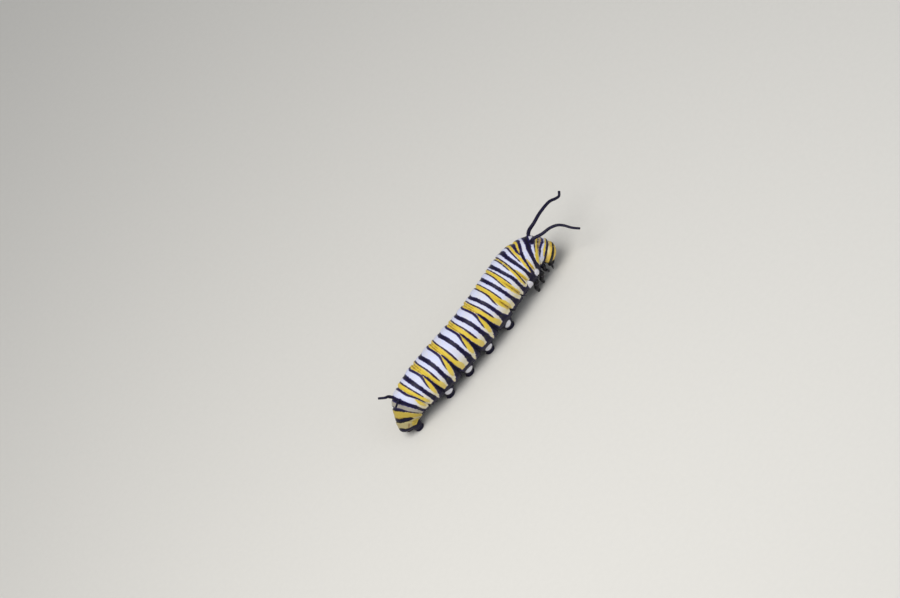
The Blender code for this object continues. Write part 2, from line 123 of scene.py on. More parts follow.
RUMP_RINGS, RUMP_TIP, RUMP_BLUNT = 16, 0.03, 0.75  # rings of that end, its smallest share, and its power
NECK_START, NECK_END = 0.12, 0.75
NECK_SHARE = 0.72  # the neck's width inside the head, as a share of the collar's
RELIEF_IN, RELIEF_OUT = (0.3, 1.0), (12.6, 13.6)  # where the relief fades in at the neck and out at the rump
FULL_WIDTH = 3.7  # half width in mm of the body where the relief has its full height

# Folds across the body, repeated in every segment: place from the segment's middle, depth in mm on the
# back and at the flank, and width in segments. A negative depth is a swelling.
FOLDS = (
    (0.515, 0.16, 0.40, 0.050),
    (0.20, -0.03, -0.05, 0.090),
    (0.42, -0.04, -0.09, 0.070),
    (0.65, -0.02, -0.07, 0.070),
    (0.82, -0.07, -0.10, 0.120),
)
# Dark bands and thin lines lie a step deeper and pale spots swell, in mm. Each step runs between two depths
# inside its mark. Dark bands lose it towards the belly, and only spots low on the side swell.
DARK_STEP, LINE_STEP, SPOT_SWELLING = 0.07, 0.045, 0.12
DARK_EDGE, LINE_EDGE, SPOT_EDGE = (-0.15, 0.25), (-0.12, 0.06), (-0.10, 0.30)
DARK_TURNS, SPOT_TURNS = (85, 110), (60, 80)
FLANK_FOLD = (98.0, 7.0, 0.10)  # the lengthwise groove along the side: turn, width in degrees, depth in mm

# Markings. Each band is a layer, the turns where it starts and ends, and its edges (turn, front, back).
# The fold layer is painted shade: brown in the creases of the folds, mixed with faint brown lines that the
# skin has.
BACK, UNDER = -99, 200  # turns for a band that crosses the back, and for one that goes on under the belly
HEAD_END_BANDS = (
    ("black", BACK, UNDER, ((0, -1.0, 0.73), (30, -1.0, 0.74), (60, -1.0, 0.81), (90, -1.0, 0.87))),
    ("yellow", BACK, 62, ((0, 0.74, 0.93), (30, 0.75, 1.06), (45, 0.77, 1.10), (60, 0.83, 1.04))),
    ("black", BACK, 62, ((-12, 1.06, 1.13), (0, 1.10, 1.18), (15, 1.20, 1.28), (30, 1.29, 1.39),
        (55, 1.38, 1.49))),
    ("tan", BACK, 66, ((-12, 1.16, 1.38), (0, 1.21, 1.43), (15, 1.31, 1.47), (30, 1.44, 1.54),
        (60, 1.50, 1.60))),
    ("yellow", BACK, 86, ((-12, 1.39, 1.56), (0, 1.43, 1.60), (15, 1.47, 1.64), (30, 1.52, 1.70),
        (45, 1.55, 1.80), (60, 1.56, 1.93), (75, 1.66, 1.96))),
    ("line", BACK, 34, ((-12, 1.375, 1.395), (0, 1.425, 1.445), (20, 1.465, 1.485), (34, 1.505, 1.525))),
    ("line", BACK, 45, ((-12, 1.57, 1.60), (0, 1.61, 1.64), (15, 1.65, 1.68), (30, 1.70, 1.73),
        (45, 1.76, 1.79))),
    ("black", BACK, UNDER, ((0, 1.88, 2.12), (15, 1.90, 2.13), (30, 1.96, 2.20), (45, 2.00, 2.22),
        (60, 2.02, 2.22), (75, 2.00, 2.27), (87, 1.76, 2.33), (110, 1.60, 2.40))),
    ("black", BACK, UNDER, ((-12, 2.28, 2.34), (0, 2.30, 2.38), (15, 2.36, 2.46), (30, 2.45, 2.57),
        (45, 2.54, 2.66), (60, 2.61, 2.69), (75, 2.65, 2.77), (90, 2.68, 2.90))),
    ("yellow", BACK, 34, ((-12, 2.34, 2.50), (0, 2.37, 2.55), (15, 2.45, 2.60), (30, 2.56, 2.64))),
    ("yellow", 48, 90, ((50, 2.47, 2.53), (60, 2.45, 2.60), (75, 2.43, 2.64), (88, 2.44, 2.64))),
    ("black", BACK, 30, ((-12, 2.49, 2.59), (0, 2.54, 2.61), (15, 2.58, 2.65), (28, 2.61, 2.66))),
    ("yellow", BACK, 96, ((-12, 2.60, 2.72), (0, 2.62, 2.76), (15, 2.65, 2.79), (30, 2.66, 2.81),
        (45, 2.66, 2.84), (60, 2.69, 2.87), (75, 2.77, 2.91), (95, 2.81, 2.93))),
    ("line", BACK, 52, ((-12, 2.74, 2.79), (0, 2.77, 2.82), (15, 2.80, 2.85), (30, 2.82, 2.87),
        (45, 2.84, 2.89))),
    ("black", BACK, UNDER, ((-12, 2.96, 3.17), (0, 3.01, 3.20), (15, 3.06, 3.23), (30, 3.02, 3.22),
        (45, 3.02, 3.18), (60, 3.01, 3.15), (75, 2.98, 3.15), (88, 2.94, 3.24), (98, 2.84, 3.30),
        (110, 2.62, 3.42))),
    ("yellow", 44, 98, ((45, 3.43, 3.50), (60, 3.38, 3.58), (75, 3.38, 3.62), (90, 3.37, 3.62))),
    ("line", BACK, 98, ((0, 3.42, 3.47), (30, 3.45, 3.50), (45, 3.48, 3.55), (60, 3.54, 3.61),
        (75, 3.63, 3.70), (90, 3.70, 3.77))),
    ("yellow", BACK, 98, ((0, 3.47, 3.60), (15, 3.48, 3.62), (30, 3.50, 3.66), (45, 3.54, 3.73),
        (60, 3.60, 3.80), (75, 3.70, 3.88), (92, 3.76, 3.90))),
    ("line", BACK, 42, ((0, 3.60, 3.65), (15, 3.62, 3.67), (30, 3.65, 3.72), (42, 3.70, 3.75))),
    ("black", BACK, UNDER, ((-12, 4.00, 4.20), (0, 4.01, 4.18), (15, 3.97, 4.15), (30, 3.97, 4.13),
        (45, 3.94, 4.08), (56, 3.90, 4.06), (63, 3.89, 4.06), (75, 3.97, 4.12), (90, 4.00, 4.18),
        (110, 3.92, 4.26))),
    ("line", BACK, 67, ((0, 4.32, 4.36), (30, 4.31, 4.35), (45, 4.32, 4.36), (65, 4.35, 4.39))),
    ("yellow", BACK, 108, ((0, 4.36, 4.56), (15, 4.35, 4.58), (30, 4.35, 4.63), (45, 4.37, 4.70),
        (60, 4.38, 4.73), (75, 4.40, 4.70), (100, 4.42, 4.66))),
    ("fold_shade_and_line", 40, 106, ((40, 4.50, 4.55), (75, 4.53, 4.59), (100, 4.55, 4.60))),
    ("line", BACK, 57, ((0, 4.56, 4.61), (15, 4.57, 4.63), (30, 4.62, 4.67), (45, 4.69, 4.74))),
    ("black", BACK, UNDER, ((0, 4.93, 5.09), (30, 4.92, 5.07), (60, 4.93, 5.07), (90, 4.93, 5.10),
        (110, 4.85, 5.20))),
    ("line", BACK, 67, ((0, 5.32, 5.36), (30, 5.31, 5.35), (60, 5.34, 5.40))),
    ("yellow", BACK, 106, ((0, 5.35, 5.58), (30, 5.35, 5.57), (45, 5.37, 5.67), (60, 5.38, 5.71),
        (75, 5.32, 5.67), (100, 5.34, 5.62))),
    ("line", BACK, 66, ((0, 5.575, 5.635), (15, 5.56, 5.62), (30, 5.56, 5.63), (45, 5.65, 5.715),
        (60, 5.715, 5.765))),
    ("fold_shade_and_line", 54, 106, ((55, 5.48, 5.53), (75, 5.48, 5.54), (100, 5.48, 5.54))),
)
# The bands that the third to sixth segments of the abdomen share, from the middle of the segment.
MIDDLE_BANDS = (
    ("black", BACK, UNDER, ((-12, 0.03, 0.165), (0, 0.00, 0.135), (15, -0.045, 0.095), (30, -0.075, 0.06),
        (45, -0.095, 0.03), (75, -0.095, 0.035), (90, -0.12, 0.07), (105, -0.20, 0.13))),
    ("line", BACK, 78, ((0, 0.32, 0.36), (15, 0.29, 0.33), (30, 0.25, 0.30), (45, 0.23, 0.29),
        (75, 0.22, 0.28))),
    ("yellow", BACK, 112, ((-12, 0.38, 0.64), (0, 0.35, 0.61), (15, 0.33, 0.57), (30, 0.31, 0.53),
        (45, 0.29, 0.47), (60, 0.28, 0.46), (90, 0.18, 0.44), (108, 0.20, 0.40))),
    ("fold_shade_and_line", BACK, 40, ((0, 0.51, 0.545), (15, 0.50, 0.535), (30, 0.485, 0.515), (40, 0.49, 0.52))),
    ("fold_shade_and_line", BACK, 22, ((0, 0.43, 0.455), (20, 0.41, 0.435))),
    ("purple", BACK, 74, ((-12, 0.63, 0.72), (0, 0.60, 0.69), (15, 0.56, 0.655), (30, 0.535, 0.635),
        (38, 0.56, 0.655), (45, 0.62, 0.69), (60, 0.70, 0.755), (72, 0.745, 0.785))),
    ("black", 29, UNDER, ((32, 0.50, 0.52), (40, 0.48, 0.52), (50, 0.46, 0.525), (60, 0.46, 0.525),
        (75, 0.455, 0.565), (90, 0.43, 0.63), (105, 0.40, 0.72))),
    ("yellow", 30, 98, ((34, 0.51, 0.58), (40, 0.51, 0.63), (50, 0.515, 0.69), (60, 0.53, 0.73),
        (75, 0.575, 0.785), (92, 0.66, 0.81))),
    ("tongue", 84, 126, ((84, 0.64, 0.92), (95, 0.69, 0.89), (105, 0.74, 0.89), (120, 0.80, 0.91))),
)
TAIL_BANDS = (
    ("black", BACK, UNDER, ((0, 9.98, 10.12), (30, 9.98, 10.12), (60, 9.97, 10.11), (90, 9.96, 10.13),
        (110, 9.88, 10.2))),
    ("line", BACK, 76, ((0, 10.29, 10.33), (30, 10.28, 10.32), (60, 10.27, 10.31))),
    ("yellow", BACK, 104, ((0, 10.32, 10.52), (30, 10.32, 10.53), (60, 10.30, 10.46), (95, 10.26, 10.46))),
    ("purple", BACK, 98, ((0, 10.515, 10.61), (30, 10.53, 10.635), (45, 10.50, 10.585), (60, 10.46, 10.53),
        (95, 10.47, 10.52))),
    ("yellow", 54, 104, ((56, 10.54, 10.62), (75, 10.54, 10.74), (98, 10.56, 10.76))),
    ("black", BACK, UNDER, ((0, 10.92, 11.13), (30, 10.91, 11.11), (45, 10.92, 11.12), (60, 10.88, 11.10),
        (75, 10.90, 11.09), (95, 10.96, 11.13), (115, 10.92, 11.16))),
    ("black", BACK, 48, ((0, 11.45, 11.60), (20, 11.44, 11.58), (45, 11.48, 11.55))),
    ("line", 40, 100, ((40, 11.48, 11.55), (70, 11.50, 11.55), (98, 11.50, 11.54))),
    ("yellow", BACK, 118, ((0, 11.57, 12.28), (30, 11.56, 12.18), (60, 11.56, 12.06), (112, 11.58, 11.98))),
    ("fold_shade_and_line", BACK, 40, ((0, 12.14, 12.21), (30, 12.07, 12.11), (40, 12.04, 12.08))),
    ("black", BACK, 70, ((0, 12.26, 12.57), (15, 12.21, 12.55), (30, 12.14, 12.50), (45, 12.09, 12.43),
        (62, 12.05, 12.29))),
    ("yellow", 67, 116, ((70, 12.30, 13.16), (85, 12.20, 13.20), (105, 12.20, 13.10))),
    ("black", BACK, UNDER, ((0, 13.28, 15.0), (30, 13.42, 15.0), (60, 13.38, 15.0), (90, 13.2, 15.0),
        (120, 12.9, 15.0))),
)
# Segment, how far back its first dark band is set, and how far back the rest is, in segments.
MIDDLE_SEGMENTS = ((6, 0.015, 0.0), (7, -0.02, -0.01), (8, -0.035, 0.045), (9, 0.06, 0.055))
# Where the dark underside starts, in degrees from the back, along the body.
BELLY_EDGE = (
    (0.8, 88), (1.1, 96), (1.7, 96), (2.0, 92), (2.4, 91), (2.7, 97), (3.4, 98), (4.4, 112), (5.2, 110),
    (5.7, 106), (6.4, 107), (9.6, 107), (10.4, 112), (11.3, 112), (12.2, 126), (13.0, 130), (13.5, 116),
)
# Pale spots low on the side and on the back, and a brown streak beside the last plate: layer, place, turn
# from the middle of the pattern, half length in segments and half height in degrees.
SPOTS = (
    ("spot", 2.45, 109.0, 0.27, 12.0),
    ("spot", 3.55, 123.0, 0.22, 20.0),
    ("spot", 1.74, 0.0, 0.10, 15.0),
    ("fold_shade_and_line", 13.12, 64.0, 0.30, 4.5),
)
BLACK_SPREAD, LINE_SPREAD = 0.085, 0.045  # how far the dark bands and lines reach past their edges, in mm
LAYERS = ("black", "purple", "line", "fold_shade_and_line", "yellow", "tan", "tongue", "spot")
TAPER_DEGREES, TAPER_FALL = 12.0, 0.02  # length of a band's pointed ends, and its fall past them in segments
SMOOTH_DEGREES = 4.0
LOW_SHARE, LOW_TURNS = 0.8, (55, 95)  # how cream the skin gets low on the side, and between which turns
REAR_PLATE = (11.08, 11.16, 11.42, 11.52)  # where the dull plate with the rear feelers starts and ends
LAST_PLATE, TAIL_COLOURS = (11.95, 12.1), (11.45, 11.65)  # where the last plate and the tail's tints start
TURN_STEPS = np.arange(0.0, 181.0)

# Limbs, as in the solids.
PROLEG_SHIFT = {6: 0.20, 7: -0.90, 8: -1.50, 9: -1.75}  # row, and how far ahead of it the sole stands
PROLEG_LEAN = 0.6  # share of that shift at the root
PROLEG_OUT = 1.78
PROLEG_ROOT_OUT = 1.85
PROLEG_ROOT_HEIGHT = 2.30
PROLEG_SOLE = (0.82, 0.66)
PROLEG_ROOT = (1.20, 0.95)
# The outline of a proleg: share of its height, share of the way from sole size to root size, push out.
PROLEG_PROFILE = np.array(
    (
        (0.00, -1.60, 0.00),
        (0.00, -0.30, 0.00),
        (0.07, 0.04, 0.00),
        (0.15, -0.02, 0.00),
        (0.20, -0.22, 0.00),
        (0.27, 0.00, 0.02),
        (0.38, 0.22, 0.05),
        (0.46, 0.30, 0.08),
        (0.56, 0.62, 0.10),
        (0.78, 0.98, 0.06),
        (1.00, 1.00, 0.00),
    )
)
PROLEG_WRINKLE, PROLEG_WRINKLES = 0.018, 46  # height as a share of the size, and count times two pi
# The pale oval on each proleg, from the third segment: how far back it sits, its tilt in radians, half its
# length and half its height.
PROLEG_OVALS = np.array(
    (
        (0.00, 0.70, 0.78, 0.50),
        (0.05, 0.10, 0.76, 0.52),
        (0.12, 0.00, 0.80, 0.52),
        (0.35, 0.00, 0.80, 0.52),
    )
)
OVAL_HEIGHT, OVAL_OUT, OVAL_REACH = 0.66, 1.0, 0.75  # share of the height, and place and reach outwards
ANAL_SOLE_MIDDLE = (-7.85, -0.72)
ANAL_OUT = 1.02
ANAL_SOLE = (0.78, 0.60)
ANAL_ROOT = (1.05, 0.88)
ANAL_ROOT_OUT = 0.95
ANAL_ROOT_HEIGHT = 2.10
ANAL_START = 11.8  # place behind which a limb is one of the last pair
ANAL_DARK_TOP, ANAL_DARK_LEAN = 1.35, 0.7  # height where the dark part of that pair starts, and its slant
LIMB_DARK_REACH, LIMB_DEPTH = 0.12, 0.24  # how far the dark goes past a limb's root, and its depth, in mm; that depth is shallow, so some purple edge stays on the limbs as a painted bluish sheen
LIMB_FACES = 1  # the number that marks a limb's faces until the limbs are joined to the body
JOIN_PULL = 0.6  # how far a point at a join moves towards its neighbours' mean in each round

# The true legs: place from the row and turn of the root, and the tip ahead of the row, out and up, in mm.
TRUE_LEGS = {
    1: {"root": (-0.10, 128.0), "tip": (-0.67, 1.95, 1.0), "girth": 0.76},
    2: {"root": (0.20, 138.0), "tip": (-1.72, 1.85, 0.0), "girth": 0.90},
    3: {"root": (0.12, 140.0), "tip": (-0.98, 2.05, 0.0), "girth": 0.96},
}
LEG_RADII = (0.58, 0.55, 0.50, 0.45, 0.39, 0.32, 0.25, 0.19, 0.11)
LEG_JOINTS = (0.30, 0.52, 0.72)
HIP_OUT, LEG_ROOT_DEPTH = 0.30, 0.45  # how far the hip stands out of the skin, and how deep the root is
KNEE_AHEAD = -0.18  # from halfway between hip and tip
ANKLE_OUT, ANKLE_AHEAD, ANKLE_UP = 0.14, 0.20, 0.42  # from the tip
CLAW_BEND, CLAW_END = (0.12, 0.10), (0.36, -0.05)  # how far inwards and up of the leg's tip each point lies
CLAW_RADII = (0.17, 0.12, 0.02)
# A joint between hard plates: the neck in it, the swelling before it and the membrane, each with its width as
# a share of the limb. The membrane is a grey ring that is partly a painted highlight.
JOINT_NECK, JOINT_SWELLING, JOINT_MEMBRANE = (0.15, 0.020), (0.05, 0.03), 0.014

FEELER_ROOT = {"front": (1.82, 22.0), "rear": (11.0, 30.0)}  # place, and degrees from the middle of the back
FEELER_DARK = {"front": 0.56, "rear": 0.52}  # how far the dark reaches round the middle of the root, in mm
FRONT_LEFT = (
    (2.1, -0.15, 1.04), (4.0, 0.45, 1.04), (6.2, 1.05, 0.65),
    (7.4, 1.25, -0.10), (8.1, 1.45, -0.42), (8.7, 1.75, 0.05),
)
FRONT_RIGHT = (
    (2.1, -0.9, 0.20), (3.6, -1.3, 0.15), (4.7, -1.9, -0.05),
    (5.4, -2.7, -0.45), (6.0, -3.8, -1.10), (6.8, -4.8, -1.70),
)
REAR_LEFT = ((-0.8, -0.1, 1.15), (-1.65, 0.65, 1.50))
REAR_RIGHT = ((-0.52, -0.82, 0.78), (-1.05, -1.64, 1.20))
FEELER_DEPTH, FEELER_STEM = 0.5, 0.45  # how deep in the body a feeler starts, and its first knot outside
FEELER_STEM_LEAN = 0.15  # share of the first offset by which that knot leans
FEELER_RIPPLE, FEELER_RIPPLES = 0.025, 150  # height as a share of the size, and count times two pi
# Pair, side, offsets from the root, radii at root and end, and radius and length of the broad root.
FEELERS = (
    ("front", 1, FRONT_LEFT, (0.33, 0.21), 0.44, 0.07),
    ("front", -1, FRONT_RIGHT, (0.30, 0.19), 0.44, 0.07),
    ("rear", 1, REAR_LEFT, (0.28, 0.19), 0.40, 0.20),
    ("rear", -1, REAR_RIGHT, (0.23, 0.15), 0.36, 0.14),
)

# The head's capsule. A place on it is lean, degrees from the middle of the face, and the angle from the top.
HEAD_CENTRE = np.array((27.30, 0.31, 3.18))
HEAD_PITCH, HEAD_YAW = -46.0, -30.0
HEAD_HALF = (1.32, 1.84, 1.84)
HEAD_CLEFT, HEAD_CLEFT_WIDTH, HEAD_JOWL = 0.07, 0.22, 0.10
EYES = ((58, 104), (62, 114), (68, 123), (76, 128), (84, 124), (66, 134))
EYE_RADIUS, EYE_SINK = 0.15, 0.07
HEAD_LEANS, HEAD_TURN_STEP = (1.5, 172, 150), 2.25  # first lean, last lean and rings, and degrees of a step
# Arches of the head from the face to the neck: where each ends at the crown and at the sides, in degrees of
# lean, and whether it is dark.
HEAD_ARCHES = ((57.0, 59.0, False), (76.0, 86.0, True), (118.0, 127.0, False), (180.0, 189.0, True))
# The dark triangle of the face, in shares of the capsule's half height: its top, its base and its half width
# there. The pale band under it: its top, its base and its half width.
FACE_TOP, FACE_BASE, FACE_HALF = 0.68, -0.36, 0.58
LIP_BAND_TOP, LIP_BAND_BASE, LIP_BAND_HALF = -0.40, -0.58, 0.50
CHEEK_START, FACE_END = 113.0, 142.0  # degrees from the crown where the outer and the inner arches end
ARCH_START, ARCH_TURN = -60.0, 110  # lean before every arch, and degrees from the crown to its lowest place
CHEEK_LEANS = (44, 60)  # between these leans the dark cheek goes from its inner edge to its outer edge
PALE_LEANS, PALE_TURNS, PALE_SHARE = (84, 104), (35, 75), 0.8  # where the light marks pale, and how much
FACE_LEAN = 88  # lean up to which the face's own marks go
# The seams: how far outside the triangle one lies and its width, the crown seam's width, and their depth.
SEAM, SEAM_WIDTH, CROWN_SEAM_WIDTH, SEAM_DEPTH = 0.07, 0.022, 0.02, 0.045

# The mouth in the head's directions. Each part has its line, its radii, how much wider than thick it is,
# whether it comes in a pair, and the shares of its length where it has joints.
UPPER_LIP = ((0.80, 0.0, -1.20), (1.12, 0.0, -1.62), (1.16, 0.0, -1.95), (1.08, 0.0, -2.14))
LOWER_LIP = ((0.00, 0.0, -1.30), (0.02, 0.0, -1.95), (0.15, 0.0, -2.50))
JAW = ((0.45, 0.80, -1.20), (0.70, 0.78, -1.85), (0.78, 0.50, -2.42))
ANTENNA = ((0.55, 1.20, -1.00), (0.95, 1.50, -1.55), (1.25, 1.62, -2.05))
MOUTH = (
    ("upper_lip", UPPER_LIP, (0.30, 0.36, 0.34, 0.16), 2.10, False, ()),
    ("lower_lip", LOWER_LIP, (0.42, 0.40, 0.18), 1.25, False, (0.55,)),
    ("jaw", JAW, (0.42, 0.38, 0.16), 1.00, True, ()),
    ("antenna", ANTENNA, (0.26, 0.20, 0.09), 1.00, True, (0.38, 0.70)),
)

# Breathing holes: their places, their turn, their half height on most segments and on the last, and their
# half width as a share of it. The rim is given as (share of the half height, height over the skin in mm).
SPIRACLES = (1.02, 4.12, 5.03, 6.02, 7.0, 8.0, 9.02, 10.05, 11.02)
SPIRACLE_TURN = 88.0
SPIRACLE_SIZE, LAST_SPIRACLE_SIZE, SPIRACLE_WIDTH = 0.26, 0.32, 0.62
SPIRACLE_RINGS, SPIRACLE_CORNERS = 22, 24
SPIRACLE_RIM = ((0.0, 0.006), (0.35, 0.010), (0.60, 0.025), (0.80, 0.055), (1.0, 0.03), (1.08, -0.08))

HOOKS_PER_FOOT, HOOK_ARC = 30, 95
HOOK_EDGE = 0.96  # where the hooks stand, as a share of the sole's size
HOOK_LINE = ((0.0, 0.24), (0.07, 0.13), (0.02, 0.02))  # out from the edge, and up
HOOK_RADII = (0.030, 0.032, 0.028, 0.022, 0.014, 0.004)

HAIR_RADIUS = 0.008
HAIR_TURNS = (70, 110)  # between these turns the hairs get longer and denser
HAIR_LEAN = 0.25  # how far a hair leans, as a share of its length
HAIR_SHORT, HAIR_SPARSE = 0.30, 0.12  # length and number on the back, as shares of those low on the side
LIMB_OUT, FEELER_OUT = 1.12, 1.9  # how far from the body's middle, in half widths, limbs and feelers begin
HAIR_SPREAD, HAIR_LIMBS = (0.6, 1.0), 2.0  # spread of the lengths, and how many times as dense limbs are
# No hair grows under this height, on skin that faces down, before this place, or on the back before the next.
BARE_HEIGHT, BARE_SOLE, BARE_NECK, BARE_FRONT, BARE_FRONT_TURN = 0.25, -0.9, 0.8, 2.3, 40
UV_TURN = 362  # degrees that the hairs' map is wide, a little more than a full turn
# One hair: how deep its root is, in mm, where its middle is and how far it is bent aside, as shares of its
# length, how many times as far its tip is, and the middle's radius as a share of the root's.
HAIR_ROOT, HAIR_WAIST, HAIR_BEND, HAIR_TIP_BEND, HAIR_TAPER = 0.03, 0.55, 0.10, 2.2, 0.7
# Its faces: points 0 to 2 are the root, 3 to 5 the middle and 6 the tip.
HAIR_FACES = np.array(
    (
        (0, 1, 4), (0, 4, 3), (1, 2, 5), (1, 5, 4), (2, 0, 3),
        (2, 3, 5), (3, 4, 6), (4, 5, 6), (5, 3, 6), (0, 2, 1),
    )
)
HAIR_POINTS = 7
HAIR_CORNERS = np.array(((0, 0), (1, 0), (0.5, 1), (0.2, 0.5), (0.8, 0.5), (0.5, 0.8), (0.5, 0.5))) * 0.003

CAMERA_TARGET = np.array((-1.84, 3.762, 8.827))
FLOOR_HALF = 0.6  # half the floor's side, in metres
LIGHT_TARGET = (0.0, 0.0, 4.0)
KEY_PLACE, KEY_SIZE, KEY_COLOUR = (-60, -70, 230), 190, (1.0, 0.985, 0.96)
FILL_PLACE, FILL_SIZE, FILL_COLOUR = (170, -190, 110), 220, (0.90, 0.94, 1.0)
SKY_COLOUR = (0.93, 0.95, 1.0, 1.0)

# Settings of a node that mixes two colours. Its inputs 0, 6 and 7 are the share and the colours.
COLOUR_MIX = {"out": 2, "data_type": "RGBA"}
GRAIN_SPAN = (0.3, 0.7)  # between these values of a grain a surface goes from smooth to rough


def to_metres(points):
    """Points in the larva's millimetres, in metres round the model's own origin."""
    return (np.asarray(points, float) - MIDDLE) * MM


def unit(vectors):
    """The vectors, each made one long."""
    return vectors / np.linalg.norm(vectors, axis=-1, keepdims=True)


def axes_of(pitch, yaw):
    """Forward, left and up vectors of a ring, from its pitch and yaw in degrees."""
    pitch, yaw = np.radians(pitch), np.radians(yaw)
    flat = np.zeros_like(pitch)
    forward = np.stack([np.cos(pitch) * np.cos(yaw), np.cos(pitch) * np.sin(yaw), np.sin(pitch)], -1)
    left = np.stack([-np.sin(yaw), np.cos(yaw), flat], -1)
    return forward, left, np.cross(forward, left)


def level_axes(row):
    """Forward and left at a row of the body, level with the floor."""
    return axes_of(0.0, ROWS[row][4])[:2]


def smooth_between(knots, place):
    """The smooth curve through evenly counted knots: cubics that pass each knot along the chord of the knots
    beside it."""
    knots = np.asarray(knots, float)
    last = len(knots) - 1
    place = np.clip(np.asarray(place, float), 0.0, last)
    start = np.minimum(np.floor(place).astype(int), last - 1)
    part = (place - start)[..., None]
    a, b = knots[np.maximum(start - 1, 0)], knots[start]
    c, d = knots[start + 1], knots[np.minimum(start + 2, last)]
    bend = part * (1 - part) * ((1 - part) * (2 * b - a - c) + part * (2 * c - b - d)) / 2
    return b + (c - b) * part + bend


def ring_frame(t):
    """Middle, forward, left, up, half width and half height of the body's ring at each place t."""
    row = smooth_between(ROWS, t)
    forward, left, up = axes_of(row[..., 3], row[..., 4])
    return row[..., :3], forward, left, up, row[..., 5], row[..., 6]


def segment_span(t, step=0.02):
    """Millimetres of the centre line in one segment, at place t."""
    ahead, behind = smooth_between(ROWS, t + step), smooth_between(ROWS, t - step)
    reach = np.clip(t + step, 0, len(ROWS) - 1) - np.clip(t - step, 0, len(ROWS) - 1)
    return np.linalg.norm((ahead - behind)[..., :3], axis=-1) / np.maximum(reach, 1e-6)


def bell(distance, width):
    """A bell curve of height 1: e to the power of minus distance over width, squared."""
    return np.exp(-((distance / width) ** 2))


def ramp(value, low, high):
    """Goes smoothly from 0 at low to 1 at high: 3 s squared minus 2 s cubed."""
    share = np.clip((value - low) / (high - low), 0.0, 1.0)
    return share * share * (3 - 2 * share)


def smooth_over_turns(values):
    """A table of values for each degree, mirrored at both ends and averaged with a bell of SMOOTH_DEGREES."""
    reach = int(SMOOTH_DEGREES * 3)
    padded = np.concatenate([values[reach:0:-1], values, values[-2 : -reach - 2 : -1]])
    weights = bell(np.arange(-reach, reach + 1.0), SMOOTH_DEGREES * math.sqrt(2))
    return np.convolve(padded, weights / weights.sum(), "valid")


def rolled(degrees, roll):
    """A turn moved by the roll, which fades towards the belly by the squared cosine of half the turn."""
    return degrees + roll * np.cos(np.radians(degrees) / 2) ** 2


def band_depth(t, turn, span, band, shift=0.0):
    """How deep each place lies inside a band, in mm: half its width minus the distance from its middle."""
    _, first, last, knots = band
    angle, front, back = np.array(knots, float).T
    angle, first, last = (rolled(value, BACK_ROLL) for value in (angle, first, last))
    middle = smooth_over_turns(np.interp(TURN_STEPS, angle, (front + back) / 2)) + shift
    half = np.interp(TURN_STEPS, angle, (back - front) / 2)
    room = np.minimum(TURN_STEPS - first, last - TURN_STEPS)
    half = half * np.sqrt(np.clip(room / TAPER_DEGREES, 0.0, 1.0)) + TAPER_FALL * np.minimum(room, 0.0)
    half = smooth_over_turns(half)
    return (np.interp(turn, TURN_STEPS, half) - np.abs(t - np.interp(turn, TURN_STEPS, middle))) * span


def markings(t, degrees):
    """Depth in mm inside each coloured layer of the skin at places t and turns in degrees."""
    turn = np.abs(rolled(degrees, -BACK_ROLL))
    span = segment_span(t)
    radius = ring_frame(t)[4]
    per_degree = radius * math.pi / 180
    depth = {layer: np.full(t.shape, -1.0) for layer in LAYERS}
    for band in HEAD_END_BANDS + TAIL_BANDS:
        depth[band[0]] = np.maximum(depth[band[0]], band_depth(t, turn, span, band))
    for middle, first_late, rest_late in MIDDLE_SEGMENTS:
        for band in MIDDLE_BANDS:
            shift = middle + (first_late if band is MIDDLE_BANDS[0] else rest_late)
            depth[band[0]] = np.maximum(depth[band[0]], band_depth(t, turn, span, band, shift))
    place, edge = np.array(BELLY_EDGE, float).T
    belly = (turn - rolled(np.interp(t, place, edge), BACK_ROLL)) * per_degree
    black = np.minimum(np.maximum(depth["black"], belly), -depth.pop("tongue"))
    for layer, middle, side, half_long, half_high in SPOTS:
        across = np.hypot((t - middle) / half_long, (turn - side) / half_high)
        depth[layer] = np.maximum(depth[layer], (1 - across) * half_high * per_degree)
    depth["black"] = black + BLACK_SPREAD
    depth["purple"] = depth["purple"] + LINE_SPREAD / 2
    depth["line"] = depth["line"] + LINE_SPREAD
    return {layer: np.clip(value, -1.0, 1.0) for layer, value in depth.items()}


def skin_relief(t, degrees, depth):
    """Height of the skin over the smooth tube, in mm: bells across the body at the folds of each segment,
    a groove along the flank, and shallow steps down into the dark bands and lines."""
    side = np.clip(1 - np.cos(np.radians(degrees)), 0.0, 1.0)
    relief = np.zeros(np.broadcast(t, degrees).shape)
    for middle, on_back, on_flank, width in FOLDS:
        away = (t - middle + 0.5) % 1.0 - 0.5
        relief = relief - (on_back + (on_flank - on_back) * side) * bell(away, width)
    turn, width, groove = FLANK_FOLD
    from_back = np.abs(degrees)
    relief = relief - groove * bell(from_back - turn, width)
    relief = relief - DARK_STEP * ramp(depth["black"], *DARK_EDGE) * (1 - ramp(from_back, *DARK_TURNS))
    relief = relief - LINE_STEP * ramp(np.maximum(depth["line"], depth["purple"]), *LINE_EDGE)
    swollen = ramp(depth["spot"], *SPOT_EDGE) * ramp(from_back, *SPOT_TURNS)
    return relief * (1 - swollen) + SPOT_SWELLING * swollen


def body_surface(t, degrees, relief):
    """Points of the body: each ring is an ellipse, a little flat below, pushed out by the relief."""
    centre, _, left, up, half_width, half_height = ring_frame(t)
    angle = np.radians(degrees)
    belly = 1 - BELLY_FLAT * np.clip(-np.cos(angle), 0.0, 1.0) ** 3
    relief = relief * np.minimum(half_width, half_height) / FULL_WIDTH
    wide = (half_width * belly + relief) * np.sin(angle)
    high = (half_height * belly + relief) * np.cos(angle)
    return centre + wide[..., None] * left + high[..., None] * up


def skin_point(t, degrees):
    """The point of the smooth tube at place t and at degrees from the back."""
    return body_surface(np.array(float(t)), np.array(float(degrees)), np.array(0.0))


